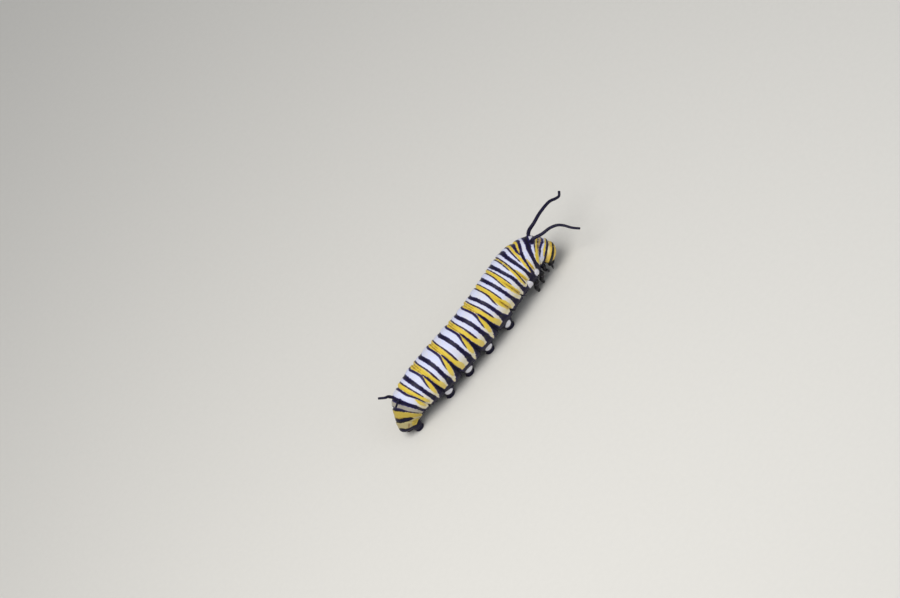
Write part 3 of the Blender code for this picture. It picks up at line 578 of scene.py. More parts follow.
def skin_normal(t, degrees, step=0.05, turn=1.0):
    """The outward direction of the smooth tube, from its slopes there."""
    along = skin_point(t - step, degrees) - skin_point(t + step, degrees)
    around = skin_point(t, degrees + turn) - skin_point(t, degrees - turn)
    return unit(np.cross(along, around))


def smooth_path(points, count):
    """Count points along the smooth curve through the given points."""
    return smooth_between(points, np.linspace(0, len(points) - 1, count))


def angles_round(count):
    """Angles of a full turn in even steps, in radians."""
    return np.arange(count) * 2 * np.pi / count


def round_tip(share, length):
    """Narrows the last length of a limb, as a share of it, by a square root, so that it ends round."""
    return np.sqrt(np.clip((1 - share) / length, 0.02, 1.0))


def above_floor(points):
    """The points, with those under the floor raised to it."""
    points[..., 2] = np.maximum(points[..., 2], 0.0)
    return points


def tube_rings(path, radii, count):
    """Round rings of the given radii along a path, square to it, without twist."""
    along = unit(np.gradient(path, axis=0))
    across = np.cross(along[0], [0.0, 0.0, 1.0])
    angle = angles_round(count)
    rings = []
    for centre, direction, radius in zip(path, along, radii):
        across = unit(across - direction * (across @ direction))
        third = np.cross(direction, across)
        rings.append(centre + radius * (np.cos(angle)[:, None] * across + np.sin(angle)[:, None] * third))
    return np.array(rings)


def closed_grid(rings):
    """Points and faces of rings joined in turn, each end closed round its middle, facing outwards."""
    rows, count = rings.shape[:2]
    points = np.concatenate([rings.reshape(-1, 3), [rings[0].mean(axis=0), rings[-1].mean(axis=0)]])
    i = np.arange(count)
    j = (i + 1) % count
    start = (np.arange(rows - 1) * count)[:, None]
    quads = np.stack([start + i, start + j, start + count + j, start + count + i], -1).reshape(-1, 4)
    first = np.stack([j, i, np.full(count, rows * count)], -1)
    base = (rows - 1) * count
    last = np.stack([base + i, base + j, np.full(count, rows * count + 1)], -1)
    fans = np.concatenate([first, last])
    corners = points[np.concatenate([quads[:, [0, 1, 2]], quads[:, [0, 2, 3]], fans])] - points.mean(axis=0)
    if np.linalg.det(corners).sum() < 0:
        quads, fans = quads[:, ::-1], fans[:, ::-1]
    return points, quads.tolist() + fans.tolist()


def joined(parts):
    """One list of points and faces from several."""
    points, faces, start = [], [], 0
    for more_points, more_faces in parts:
        points.append(more_points)
        faces += [[corner + start for corner in face] for face in more_faces]
        start += len(more_points)
    return np.concatenate(points), faces


def mesh_object(name, points, faces):
    """A smooth-shaded object from points in the larva's millimetres and faces."""
    mesh = bpy.data.meshes.new(name)
    mesh.from_pydata(to_metres(points).tolist(), [], faces)
    mesh.shade_smooth()
    obj = bpy.data.objects.new(name, mesh)
    bpy.context.scene.collection.objects.link(obj)
    return obj


def set_attribute(obj, name, values):
    """Stores one number for each point of the mesh."""
    made = obj.data.attributes.new(name, "FLOAT", "POINT")
    made.data.foreach_set("value", np.asarray(values, np.float32))


def mesh_array(items, field, width=1, kind=np.float32):
    """One field of all the items of a mesh as an array, in rows where the field holds several numbers."""
    values = np.empty(len(items) * width, kind)
    items.foreach_get(field, values)
    return values.reshape(-1, width) if width > 1 else values


def put_on(piece, finish, slot, *nodes):
    """Gives a piece its material and its place in the frame."""
    piece.data.materials.clear()
    piece.data.materials.append(finish)
    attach(piece, "root")
    if nodes:
        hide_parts(*nodes)


# Skin


def skin_grid(rings, corners):
    """The body's rings from the neck to the rump, which closes by the sine of an angle from 0 to 90 degrees
    and a power of its cosine."""
    along = np.linspace(NECK_START, BODY_END, rings)
    behind = np.linspace(0, 1, RUMP_RINGS)[1:] * math.pi / 2
    t = np.concatenate([along, BODY_END + RUMP_LENGTH * np.sin(behind)])
    shrink = np.concatenate([np.ones(rings), np.maximum(np.cos(behind), RUMP_TIP) ** RUMP_BLUNT])
    shrink *= NECK_SHARE + (1 - NECK_SHARE) * ramp(t, NECK_START, NECK_END)
    turns = np.linspace(-180, 180, corners, endpoint=False)
    places, degrees = np.meshgrid(t, turns, indexing="ij")
    depth = markings(places, degrees)
    relief = skin_relief(places, degrees, depth)
    quiet = ramp(places, *RELIEF_IN) * (1 - ramp(places, *RELIEF_OUT))
    points = body_surface(places, degrees, relief * quiet)
    centre = ring_frame(t)[0][:, None, :]
    return centre + (points - centre) * shrink[:, None, None]


def proleg_rings(sole_middle, root_middle, sole, root, side, rings=44, corners=40):
    """A soft leg: ellipses whose size, height and push outwards follow PROLEG_PROFILE, with fine wrinkles."""
    up, widen, push = smooth_path(PROLEG_PROFILE, rings).T
    up = np.maximum(up, 0.0)
    centre = sole_middle + (root_middle - sole_middle) * up[:, None]
    centre[:, 1] += side * push
    size = np.maximum(sole + (root - sole) * widen[:, None], 0.05)
    wrinkle = 1 + PROLEG_WRINKLE * np.sin(up * PROLEG_WRINKLES) * ramp(up, 0.2, 0.35)
    angle = angles_round(corners)
    circle = np.stack([np.cos(angle), np.sin(angle), np.zeros(corners)], -1)
    half = np.column_stack([size * wrinkle[:, None], np.zeros(rings)])
    return centre[:, None, :] + circle * half[:, None, :]


def proleg_places():
    """Sole middle, root middle, sole size, root size and side of each proleg."""
    for k, shift in PROLEG_SHIFT.items():
        x, y = ROWS[k][:2]
        for side in (1, -1):
            sole = np.array((x + shift, y + side * PROLEG_OUT, 0.0))
            root = np.array((x + shift * PROLEG_LEAN, y + side * PROLEG_ROOT_OUT, PROLEG_ROOT_HEIGHT))
            yield sole, root, np.array(PROLEG_SOLE), np.array(PROLEG_ROOT), side
    left = level_axes(13)[1]
    for side in (1, -1):
        sole = np.array((*ANAL_SOLE_MIDDLE, 0.0)) + side * ANAL_OUT * left
        root = np.array((*ANAL_SOLE_MIDDLE, ANAL_ROOT_HEIGHT)) + side * ANAL_ROOT_OUT * left
        yield sole, root, np.array(ANAL_SOLE), np.array(ANAL_ROOT), side


def feeler_line(pair, side, offsets):
    """The knots of one feeler: from under the skin, square out of it, then through its offsets."""
    t, degrees = FEELER_ROOT[pair]
    root = skin_point(t, side * degrees + BACK_ROLL)
    outward = skin_normal(t, side * degrees + BACK_ROLL)
    stem = root + FEELER_STEM * outward + FEELER_STEM_LEAN * np.array(offsets[0])
    return [root - FEELER_DEPTH * outward, stem, *(root + np.array(offset) for offset in offsets)]


def feeler_rings(pair, side, offsets, radii, root_radius, swelling, rings=110, corners=18):
    """A feeler: a tube that is broad at its root, thins towards its end, and closes in a round tip."""
    path = smooth_path(feeler_line(pair, side, offsets), rings)
    share = np.linspace(0, 1, rings)
    sizes = radii[0] + (radii[1] - radii[0]) * share + (root_radius - radii[0]) * bell(share, swelling)
    sizes *= 1 + FEELER_RIPPLE * np.sin(share * FEELER_RIPPLES) * ramp(share, 0.04, 0.12)
    return tube_rings(path, sizes * round_tip(share, 0.012), corners)


def body_places(points):
    """Place t and turn in degrees of points in mm: from the nearest of many places, t moves by its slope
    until the point lies in the plane of the ring."""
    last, step, furthest = len(ROWS) - 1, 0.01, 0.4
    tries = np.linspace(0, last, 10 * last + 1)
    middles = smooth_between(ROWS, tries)[:, :3]
    t = np.concatenate(
        [tries[((chunk[:, None] - middles) ** 2).sum(-1).argmin(1)] for chunk in np.array_split(points, 16)]
    )
    for _ in range(8):
        off = ((points - ring_frame(t)[0]) * ring_frame(t)[1]).sum(-1)
        more = ((points - ring_frame(t + step)[0]) * ring_frame(t + step)[1]).sum(-1)
        slope = (more - off) / step
        slope = np.where(np.abs(slope) < furthest, np.copysign(furthest, slope + 1e-9), slope)
        t = np.clip(t - np.clip(off / slope, -furthest, furthest), 0.02, last - 0.02)
    centre, _, left, up, _, _ = ring_frame(t)
    away = points - centre
    return t, np.degrees(np.arctan2((away * left).sum(-1), (away * up).sum(-1)))


def unite(body, limbs):
    """Joins the limbs to the body with a Boolean union, and returns the mesh."""
    modifier = body.modifiers.new("join_limbs", "BOOLEAN")
    modifier.operation = "UNION"
    modifier.operand_type = "COLLECTION"
    modifier.collection = limbs
    modifier.solver = "MANIFOLD"
    graph = bpy.context.evaluated_depsgraph_get()
    made = bpy.data.meshes.new_from_object(body.evaluated_get(graph))
    body.modifiers.clear()
    return made


def soften_joins(mesh, reach, rounds):
    """Moves the points near the line where limbs meet the body towards their neighbours' mean, over and over,
    less with distance. Returns each point's distance from that line in mm, positive on the limbs."""
    points = mesh_array(mesh.vertices, "co", 3, float)
    corners = mesh_array(mesh.loops, "vertex_index", 1, np.int32)
    limb_face = mesh_array(mesh.polygons, "material_index", 1, np.int32) == LIMB_FACES
    limb_corner = np.repeat(limb_face, mesh_array(mesh.polygons, "loop_total", 1, np.int32))
    on_limb, on_body = np.zeros((2, len(points)), bool)
    on_limb[corners[limb_corner]] = True
    on_body[corners[~limb_corner]] = True
    seam = points[on_limb & on_body]
    nearest = np.concatenate(
        [np.sqrt(((chunk[:, None] - seam) ** 2).sum(-1).min(1)) for chunk in np.array_split(points, 200)]
    )
    weight = (1 - ramp(nearest, 0.0, reach))[:, None]
    edges = mesh_array(mesh.edges, "vertices", 2, np.int32)
    edges = edges[(weight[edges, 0] > 0).any(axis=1)]
    total = np.maximum(np.bincount(edges.ravel(), minlength=len(points)), 1)[:, None]
    for _ in range(rounds):
        mean = np.zeros_like(points)
        np.add.at(mean, edges[:, 0], points[edges[:, 1]])
        np.add.at(mean, edges[:, 1], points[edges[:, 0]])
        points = points + weight * JOIN_PULL * (mean / total - points)
    mesh.vertices.foreach_set("co", above_floor(points).ravel())
    mesh.update()
    return np.where(on_limb & ~on_body, nearest, -nearest) / MM


def limb_marks(points, t, from_join, depth):
    """Adds the dark limbs and roots, and the pale oval on the outer face of each proleg, to the layers."""
    black, spot = depth["black"], depth["spot"]
    for pair, side, *_ in FEELERS:
        place, turn = FEELER_ROOT[pair]
        away = points - skin_point(place, side * turn + BACK_ROLL)
        black = np.maximum(black, FEELER_DARK[pair] - np.linalg.norm(away, axis=1))
    outward = np.abs((points[:, :2] - ANAL_SOLE_MIDDLE) @ level_axes(13)[1][:2]) - ANAL_OUT
    top = np.where(t > ANAL_START, ANAL_DARK_TOP + ANAL_DARK_LEAN * outward, np.inf)
    limb = np.minimum(from_join + LIMB_DARK_REACH, top - points[:, 2])
    # Capped at LIMB_DEPTH, the limbs keep part of the purple edge colour as a painted bluish sheen.
    black = np.maximum(black, np.minimum(limb, LIMB_DEPTH))
    ovals = np.repeat(PROLEG_OVALS, 2, 0)
    for (sole, root, _, _, side), (back, tilt, long, short) in zip(proleg_places(), ovals):
        middle = sole + (root - sole) * OVAL_HEIGHT + (-back, side * OVAL_OUT, 0.0)
        away = points - middle
        along = away[:, 0] * np.cos(tilt) + away[:, 2] * np.sin(tilt)
        across = away[:, 2] * np.cos(tilt) - away[:, 0] * np.sin(tilt)
        distance = np.sqrt((along / long) ** 2 + (across / short) ** 2 + (away[:, 1] / OVAL_REACH) ** 2)
        spot = np.maximum(spot, (1 - distance) * short)
    depth["black"], depth["spot"] = np.clip(black, -1, 1), np.clip(spot, -1, 1)
    return depth


class LarvaShape(bpy.types.PropertyGroup):
    """Sizes of the skin and its hairs."""

    rings: bpy.props.IntProperty(name="Rings", description="Rings along the body", default=620, min=100)
    corners: bpy.props.IntProperty(name="Corners", description="Points round one ring", default=112, min=24)
    join_reach: bpy.props.FloatProperty(
        name="Join", description="How far the skin is softened round a limb", default=0.45 * MM, unit="LENGTH"
    )
    join_rounds: bpy.props.IntProperty(name="Rounds", description="How often a join is softened", default=14)
    hair_length: bpy.props.FloatProperty(
        name="Hair length", description="Longest of the fine hairs", default=0.36 * MM, unit="LENGTH"
    )
    hair_count: bpy.props.IntProperty(name="Hairs", description="Number of fine hairs", default=2600)


def srgb(code):
    """A hex colour turned to linear light."""
    parts = np.array([int(code[i : i + 2], 16) for i in (1, 3, 5)]) / 255
    return tuple(np.where(parts <= 0.04045, parts / 12.92, ((parts + 0.055) / 1.055) ** 2.4))


def colour_property(name, description, code):
    """A colour that a user can change."""
    return bpy.props.FloatVectorProperty(
        name=name, description=description, default=srgb(code), subtype="COLOR", size=3, min=0, max=1
    )


class LarvaColours(bpy.types.PropertyGroup):
    """Colours of the skin, the head and the hairs."""

    white: colour_property("White", "Pale bands of the skin", "#D2D7F2")
    cream: colour_property("Cream", "Pale bands low on the side", "#DDD3AC")
    yellow: colour_property("Yellow", "Yellow bands of the skin", "#DCC144")
    tan: colour_property("Tan", "Dull yellow bands at both ends", "#BFA25A")
    line: colour_property("Line", "Thin lines beside the yellow", "#2C1536")
    spot: colour_property("Spot", "Pale spots of the thorax and the prolegs", "#E2E1E8")
    purple: colour_property("Purple", "Dark lines behind the yellow of the abdomen", "#1F1248")
    fold_shade_and_line: colour_property("Fold", "Brown shade of the folds in the yellow", "#714628")
    # Painted shade in the creases of the folds, and the faint brown lines of the skin.
    pale_yellow: colour_property("Pale yellow", "Yellow where it fades low on the side", "#D9C585")
    dull: colour_property("Dull", "Grey plate with the rear feelers", "#A6A094")
    tail_plate: colour_property("Tail plate", "Dull yellow plate over the tail", "#AFA274")
    # Darker partly because the last bands are a duller yellow, and partly as painted shade of the tail.
    tail_yellow: colour_property("Tail yellow", "Darker yellow of the last bands", "#BCA546")
    # On the limbs and feelers this purple is a painted bluish sheen.
    band_edge_and_sheen: colour_property("Band edge", "Purple edge of the dark bands, limbs and feelers", "#211554")
    black: colour_property("Black", "Middle of the dark bands, and the underside", "#0D0829")
    head_yellow: colour_property("Head yellow", "Pale arches of the head", "#DCB944")
    # Partly the membrane's own colour and partly a painted highlight at each joint of the legs.
    membrane_and_highlight: colour_property("Membrane", "Soft skin between the plates of the legs", "#57525E")
    head_black: colour_property("Head black", "Dark arches of the head", "#09070E")
    pale_hair: colour_property("Pale hair", "Fine hairs on the light marks", "#A89F8C")
    dark_hair: colour_property("Dark hair", "Fine hairs on the dark marks", "#231D2B")


class LarvaStage(bpy.types.PropertyGroup):
    """Camera and light."""

    lens: bpy.props.FloatProperty(name="Lens", description="Focal length", default=160.0, unit="CAMERA")
    distance: bpy.props.FloatProperty(
        name="Distance", description="From the camera to its target", default=0.64, unit="LENGTH"
    )
    elevation: bpy.props.FloatProperty(
        name="Elevation", description="Angle over the floor", default=math.radians(40), subtype="ANGLE"
    )
    roll: bpy.props.FloatProperty(
        name="Roll", description="Turn on the camera's axis", default=math.radians(48.08), subtype="ANGLE"
    )
    key: bpy.props.FloatProperty(name="Key", description="Power of the key light", default=0.50, unit="POWER")
    fill: bpy.props.FloatProperty(name="Fill", description="Power of the fill", default=0.14, unit="POWER")
    sky: bpy.props.FloatProperty(name="Sky", description="Strength of the pale surroundings", default=0.34)


# Materials


def add_node(tree, kind, inputs=(), out=0, **settings):
    """Adds a node with its settings, and fills or links its inputs, given in order or by name or number, as
    values, colours or sockets. Returns the output that is asked for."""
    made = tree.nodes.new("ShaderNode" + kind)
    for name, value in settings.items():
        setattr(made, name, value)
    for key, value in inputs.items() if isinstance(inputs, dict) else enumerate(inputs):
        if isinstance(value, bpy.types.NodeSocket):
            tree.links.new(value, made.inputs[key])
        else:
            made.inputs[key].default_value = (*value, 1.0) if made.inputs[key].type == "RGBA" else value
    return made.outputs[out] if made.outputs else None


def new_material(name):
    """A material with an empty node tree, its tree and the tree's Object coordinates."""
    made = bpy.data.materials.new(name)
    made.use_nodes = True
    made.node_tree.nodes.clear()
    return made, made.node_tree, add_node(made.node_tree, "TexCoord", out="Object")


def end_material(made, base, grain, rough, relief, **settings):
    """Gives a material its shader: a colour, a roughness that goes between two values with the grain, a
    relief as its height, strength and depth in mm, and the shader's own settings."""
    tree = made.node_tree
    roughness = add_node(tree, "MapRange", (grain, *GRAIN_SPAN, *rough))
    inputs = {"Base Color": base, "Roughness": roughness}
    inputs.update({name.replace("_", " "): value for name, value in settings.items()})
    if relief:
        height, strength, depth = relief
        bump = {"Strength": strength, "Distance": depth * MM, "Height": height}
        inputs["Normal"] = add_node(tree, "Bump", bump)
    add_node(tree, "OutputMaterial", {"Surface": add_node(tree, "BsdfPrincipled", inputs)})
    return made


def per_mm(count):
    """A pattern scale for Object coordinates in metres, from a number of repeats in a millimetre."""
    return count / MM


def larva_cuticle():
    """Living cuticle: thin, soft and waxy, satin rather than glossy, with light that soaks in a little. The
    bands keep slightly ragged edges, and the surface has fine grains and creases 0.1 to 0.3 mm apart."""
    colours = bpy.context.scene.larva_colours
    made, tree, place = new_material("larva_cuticle")
    marks = (add_node(tree, "Attribute", out="Fac", attribute_name=name) for name in ("low", "tail", "dull"))
    low, tail, dull = marks
    ragged = add_node(
        tree, "TexNoise", {"Vector": place, "Scale": per_mm(2.2), "Detail": 3.0, "Roughness": 0.6}
    )
    wobble = add_node(tree, "MapRange", (ragged, 0.25, 0.75, -0.07, 0.07))
    clouds = add_node(
        tree, "TexNoise", {"Vector": place, "Scale": per_mm(0.7), "Detail": 4.0, "Roughness": 0.65}
    )
    cloudy = add_node(tree, "MapRange", (clouds, 0.42, 0.72, 0.0, 0.35))
    shade = add_node(tree, "Math", (low, cloudy), operation="ADD", use_clamp=True)
    faded = add_node(tree, "MapRange", (low, 0.35, 0.8, 0.0, 0.55))
    yellow = add_node(tree, "Mix", {0: faded, 6: colours.yellow, 7: colours.pale_yellow}, **COLOUR_MIX)
    # The tail's darker yellow is partly painted shade.
    yellow = add_node(tree, "Mix", {0: tail, 6: yellow, 7: colours.tail_yellow}, **COLOUR_MIX)
    plate = add_node(tree, "Mix", {0: tail, 6: colours.dull, 7: colours.tail_plate}, **COLOUR_MIX)
    edge = add_node(tree, "Mix", {0: tail, 6: colours.band_edge_and_sheen, 7: colours.head_black}, **COLOUR_MIX)
    base = add_node(tree, "Mix", {0: shade, 6: colours.white, 7: colours.cream}, **COLOUR_MIX)
    base = add_node(tree, "Mix", {0: dull, 6: base, 7: plate}, **COLOUR_MIX)
    # From the lowest: layer, colour, softness and sway of its edge, how far inside it starts, its full share.
    layers = (
        ("tan", colours.tan, 0.16, 1.5, 0.0, 1.0),
        ("yellow", yellow, 0.10, 1.2, 0.0, 1.0),
        # Painted shade in the creases, with faint brown lines.
        ("fold_shade_and_line", colours.fold_shade_and_line, 0.09, 1.2, 0.0, 0.75),
        ("line", colours.line, 0.06, 0.6, 0.0, 1.0),
        ("purple", colours.purple, 0.07, 0.6, 0.0, 1.0),
        # On the limbs this purple edge is a painted bluish sheen.
        ("black", edge, 0.06, 1.0, 0.0, 1.0),
        ("black", colours.black, 0.10, 1.5, 0.14, 1.0),
        ("spot", colours.spot, 0.07, 0.4, 0.0, 1.0),
    )
    for name, colour, soft, sway, inset, most in layers:
        depth = add_node(tree, "Attribute", out="Fac", attribute_name=name)
        moved = add_node(tree, "Math", (wobble, sway, depth), operation="MULTIPLY_ADD")
        span = (moved, inset - soft, inset + soft, 0.0, most)
        share = add_node(tree, "MapRange", span, interpolation_type="SMOOTHSTEP")
        base = add_node(tree, "Mix", {0: share, 6: base, 7: colour}, **COLOUR_MIX)
    grain = add_node(
        tree, "TexNoise", {"Vector": place, "Scale": per_mm(6.0), "Detail": 4.0, "Roughness": 0.7}
    )
    cells = add_node(tree, "TexVoronoi", {"Vector": place, "Scale": per_mm(4.2)}, feature="DISTANCE_TO_EDGE")
    crease = add_node(tree, "MapRange", (cells, 0.0, 0.12, 0.0, 1.0))
    height = add_node(tree, "Math", (crease, 0.20, grain), operation="MULTIPLY_ADD")
    soaking = {"Subsurface_Weight": 0.10, "Subsurface_Radius": (1.0, 0.8, 0.6), "Subsurface_Scale": 0.25 * MM}
    relief = (height, 0.35, 0.04)
    return end_material(made, base, grain, (0.36, 0.52), relief, IOR=1.38, Specular_IOR_Level=0.36, **soaking)


def head_shell():
    """Hardened head capsule: smooth, shiny, yellow and black, with fine pits, about seven in a millimetre."""
    colours = bpy.context.scene.larva_colours
    made, tree, place = new_material("hard_head_capsule")
    black, pale = (add_node(tree, "Attribute", out="Fac", attribute_name=name) for name in ("black", "pale"))
    ragged = add_node(tree, "TexNoise", {"Vector": place, "Scale": per_mm(2.0), "Detail": 3.0})
    wobble = add_node(tree, "MapRange", (ragged, 0.25, 0.75, -0.04, 0.04))
    moved = add_node(tree, "Math", (black, wobble), operation="ADD")
    dark = add_node(tree, "MapRange", (moved, -0.05, 0.05, 0.0, 1.0), interpolation_type="SMOOTHSTEP")
    light = add_node(tree, "Mix", {0: pale, 6: colours.head_yellow, 7: colours.cream}, **COLOUR_MIX)
    base = add_node(tree, "Mix", {0: dark, 6: light, 7: colours.head_black}, **COLOUR_MIX)
    pits = add_node(tree, "TexVoronoi", {"Vector": place, "Scale": per_mm(7.0)})
    relief = (pits, 0.30, 0.03)
    return end_material(made, base, ragged, (0.22, 0.36), relief, IOR=1.50, Specular_IOR_Level=0.35)


def hard_shell():
    """Hardened legs, jaws and lips: glossy black plates with pale, dull membrane between them, whose grey is
    partly a painted highlight at each joint.
    """
    colours = bpy.context.scene.larva_colours
    made, tree, place = new_material("hard_leg_plates")
    grain = add_node(
        tree, "TexNoise", {"Vector": place, "Scale": per_mm(5.0), "Detail": 4.0, "Roughness": 0.6}
    )
    soft = add_node(tree, "Attribute", out="Fac", attribute_name="membrane_and_highlight")
    base = add_node(tree, "Mix", {0: soft, 6: colours.head_black, 7: colours.membrane_and_highlight}, **COLOUR_MIX)
    relief = (grain, 0.30, 0.03)
    return end_material(made, base, grain, (0.24, 0.42), relief, IOR=1.50, Specular_IOR_Level=0.30)


def plain_finish(name, code, rough, ior=1.5, repeats=6.0, strength=0.2, deepest=0.8):
    """A finish of one colour with a fine grain, repeats times in a millimetre, in its roughness and surface
    and in how deep its colour is."""
    made, tree, place = new_material(name)
    grain = add_node(tree, "TexNoise", {"Vector": place, "Scale": per_mm(repeats), "Detail": 3.0})
    deep = tuple(part * deepest for part in srgb(code))
    base = add_node(tree, "Mix", {0: grain, 6: deep, 7: srgb(code)}, **COLOUR_MIX)
    return end_material(made, base, grain, rough, (grain, strength, 0.02), IOR=ior)


def fine_hair():
    """Hardened hair: thin, faintly glossy spikes, dark on the skin's dark marks, pale on its light ones."""
    colours = bpy.context.scene.larva_colours
    made, tree, place = new_material("fine_hair")
    dark = add_node(tree, "Attribute", out="Fac", attribute_name="dark")
    grain = add_node(tree, "TexNoise", {"Vector": place, "Scale": per_mm(6.0)})
    base = add_node(tree, "Mix", {0: dark, 6: colours.pale_hair, 7: colours.dark_hair}, **COLOUR_MIX)
    return end_material(made, base, grain, (0.35, 0.5), None, IOR=1.55)


# Head


def head_point(forward, left, up):
    """A point given in the head's own directions, in millimetres from the middle of the capsule."""
    axes = axes_of(HEAD_PITCH, HEAD_YAW)
    parts = np.stack(np.broadcast_arrays(forward, left, up), -1)
    return HEAD_CENTRE + parts @ np.array(axes)


def capsule_surface(lean, angle, swell=0.0):
    """The capsule: an ellipsoid with a cleft down its crown, narrower at the jowls, raised by swell in mm."""
    lean, angle = np.radians(lean), np.radians(angle)
    depth, width, height = (half + swell for half in HEAD_HALF)
    crown = bell(np.sin(angle), HEAD_CLEFT_WIDTH) * np.maximum(np.cos(angle), 0.0)
    share = 1.0 - HEAD_CLEFT * crown * np.sin(lean) ** 2
    jowl = 1.0 - HEAD_JOWL * np.maximum(-np.cos(angle), 0.0) ** 2 * np.sin(lean)
    return head_point(
        depth * np.cos(lean),
        width * np.sin(lean) * np.sin(angle) * share * jowl,
        height * np.sin(lean) * np.cos(angle) * share,
    )


def face_place(lean, angle):
    """How far beside and up the face a place is, in shares of half its height, and depth in its triangle."""
    lean, angle = np.radians(lean), np.radians(angle)
    beside = np.abs(np.sin(lean) * np.sin(angle))
    high = np.sin(lean) * np.cos(angle)
    slope = math.hypot(FACE_TOP - FACE_BASE, FACE_HALF)
    inside = ((FACE_TOP - high) * FACE_HALF - beside * (FACE_TOP - FACE_BASE)) / slope
    return beside, high, inside


def head_marks(lean, angle):
    """Depth in mm inside the dark marks of the head, and how pale its light ones are: arches from side to
    side that end at the dark cheeks, a triangle on the face, and a pale band over the mouth."""
    turn = np.abs((angle + 180) % 360 - 180)
    half = HEAD_HALF[2]
    low, depth = ARCH_START, np.full(lean.shape, -1.0)
    for on_crown, at_side, dark in HEAD_ARCHES:
        high = on_crown + (at_side - on_crown) * ramp(turn, 0, ARCH_TURN)
        if dark:
            depth = np.maximum(depth, np.minimum(lean - low, high - lean) * half * math.pi / 180)
        low = high
    end = FACE_END + (CHEEK_START - FACE_END) * ramp(lean, *CHEEK_LEANS)
    cheek = (turn - end) * np.sin(np.radians(lean)) * half * math.pi / 180
    beside, high, inside = face_place(lean, angle)
    front = lean < FACE_LEAN
    triangle = np.where(front, np.minimum(inside, high - FACE_BASE), -1.0) * half
    band = np.minimum(np.minimum(LIP_BAND_TOP - high, high - LIP_BAND_BASE), LIP_BAND_HALF - beside)
    band = np.where(front, band, -1.0) * half
    depth = np.maximum(np.maximum(depth, cheek), triangle)
    depth = np.minimum(depth, -band)
    pale = ramp(lean, *PALE_LEANS) * (1 - PALE_SHARE * ramp(turn, *PALE_TURNS))
    return np.clip(depth, -1, 1), np.maximum(PALE_SHARE * pale, ramp(band, -0.05, 0.05))


def head_relief(lean, angle):
    """Fine seams of the capsule, in mm: grooves beside the triangle of the face and over the crown."""
    beside, high, inside = face_place(lean, angle)
    front = (lean < FACE_LEAN) & (high > FACE_BASE)
    seams = np.where(front, bell(inside + SEAM, SEAM_WIDTH), 0.0)
    crown = bell(beside, CROWN_SEAM_WIDTH) * ramp(high, FACE_TOP, FACE_TOP + 0.1) * ramp(lean, 30, 40)
    return -SEAM_DEPTH * np.maximum(seams, crown)


class LARVA_OT_skin(bpy.types.Operator):
    """Makes the one skin over the body, the prolegs and the feelers, with its markings"""

    bl_idname = "larva.skin"
    bl_label = "Skin"

    def execute(self, context):
        shape = context.scene.larva_shape
        body = mesh_object("larva_skin", *closed_grid(skin_grid(shape.rings, shape.corners)))
        limbs = bpy.data.collections.new("limbs")
        context.scene.collection.children.link(limbs)
        grids = [proleg_rings(*place) for place in proleg_places()]
        grids += [feeler_rings(*feeler) for feeler in FEELERS]
        for rings in grids:
            limb = mesh_object("limb", *closed_grid(rings))
            context.scene.collection.objects.unlink(limb)
            limbs.objects.link(limb)
        for piece in (body, *limbs.objects):
            faces = piece.data.polygons
            piece.data.materials.append(None)
            piece.data.materials.append(None)
            mark = 0 if piece == body else LIMB_FACES
            faces.foreach_set("material_index", np.full(len(faces), mark, np.int32))
        whole = unite(body, limbs)
        for limb in list(limbs.objects):
            bpy.data.objects.remove(limb, do_unlink=True)
        bpy.data.collections.remove(limbs)
        from_join = soften_joins(whole, shape.join_reach, shape.join_rounds)
        whole.shade_smooth()
        body.data = whole
        points = mesh_array(whole.vertices, "co", 3, float) / MM + MIDDLE
        t, degrees = body_places(points)
        values = limb_marks(points, t, from_join, markings(t, degrees))
        values["low"] = LOW_SHARE * ramp(np.abs(degrees), *LOW_TURNS)
        rear_plate = ramp(t, *REAR_PLATE[:2]) * (1 - ramp(t, *REAR_PLATE[2:]))
        values["dull"] = np.maximum(rear_plate, ramp(t, *LAST_PLATE))
        values["tail"] = ramp(t, *TAIL_COLOURS)
        for name, numbers in values.items():
            set_attribute(body, name, numbers)
        whole.polygons.foreach_set("material_index", np.zeros(len(whole.polygons), np.int32))
        sides = ("left", "right")
        names = [f"thorax_{k}" for k in (1, 2, 3)] + [f"abdomen_{k}" for k in range(1, 11)]
        names += [f"proleg_{k}_{side}" for k in (3, 4, 5, 6, "anal") for side in sides]
        names += [f"feeler_front_{side}_{part}" for side in sides for part in ("root", "tip")]
        names += [f"feeler_rear_{side}" for side in sides]
        put_on(body, larva_cuticle(), "skin", *names)
        return {"FINISHED"}


class LARVA_OT_head(bpy.types.Operator):
    """Makes the head capsule with its arches"""

    bl_idname = "larva.head"
    bl_label = "Head"

    def execute(self, context):
        lean, angle = np.meshgrid(np.linspace(*HEAD_LEANS), np.arange(0, 360, HEAD_TURN_STEP), indexing="ij")
        rings = capsule_surface(lean, angle, head_relief(lean, angle))
        head = mesh_object("head_capsule", *closed_grid(rings))
        black, pale = head_marks(lean, angle)
        set_attribute(head, "black", np.append(black.ravel(), (black[0].mean(), black[-1].mean())))
        set_attribute(head, "pale", np.append(pale.ravel(), (0.0, 0.0)))
        put_on(head, head_shell(), "head_shell", "head")
        return {"FINISHED"}


class LARVA_OT_eyes(bpy.types.Operator):
    """Makes the six simple eyes of each side"""

    bl_idname = "larva.eyes"
    bl_label = "Simple eyes"

    def execute(self, context):
        leans, turns = np.radians(np.linspace(4, 176, 16)), np.radians(np.arange(0, 360, 18))
        lean, turn = np.meshgrid(leans, turns, indexing="ij")
        ball = np.stack([np.sin(lean) * np.cos(turn), np.sin(lean) * np.sin(turn), np.cos(lean)], -1)
        ball *= EYE_RADIUS
        parts = []
        for side in (1, -1):
            for eye_lean, eye_angle in EYES:
                parts.append(closed_grid(ball + capsule_surface(eye_lean, side * eye_angle, -EYE_SINK)))
        eyes = mesh_object("simple_eyes", *joined(parts))
        put_on(eyes, plain_finish("glassy_eye_lens", "#0A0706", (0.04, 0.10), ior=1.52), "head_shell")
        return {"FINISHED"}


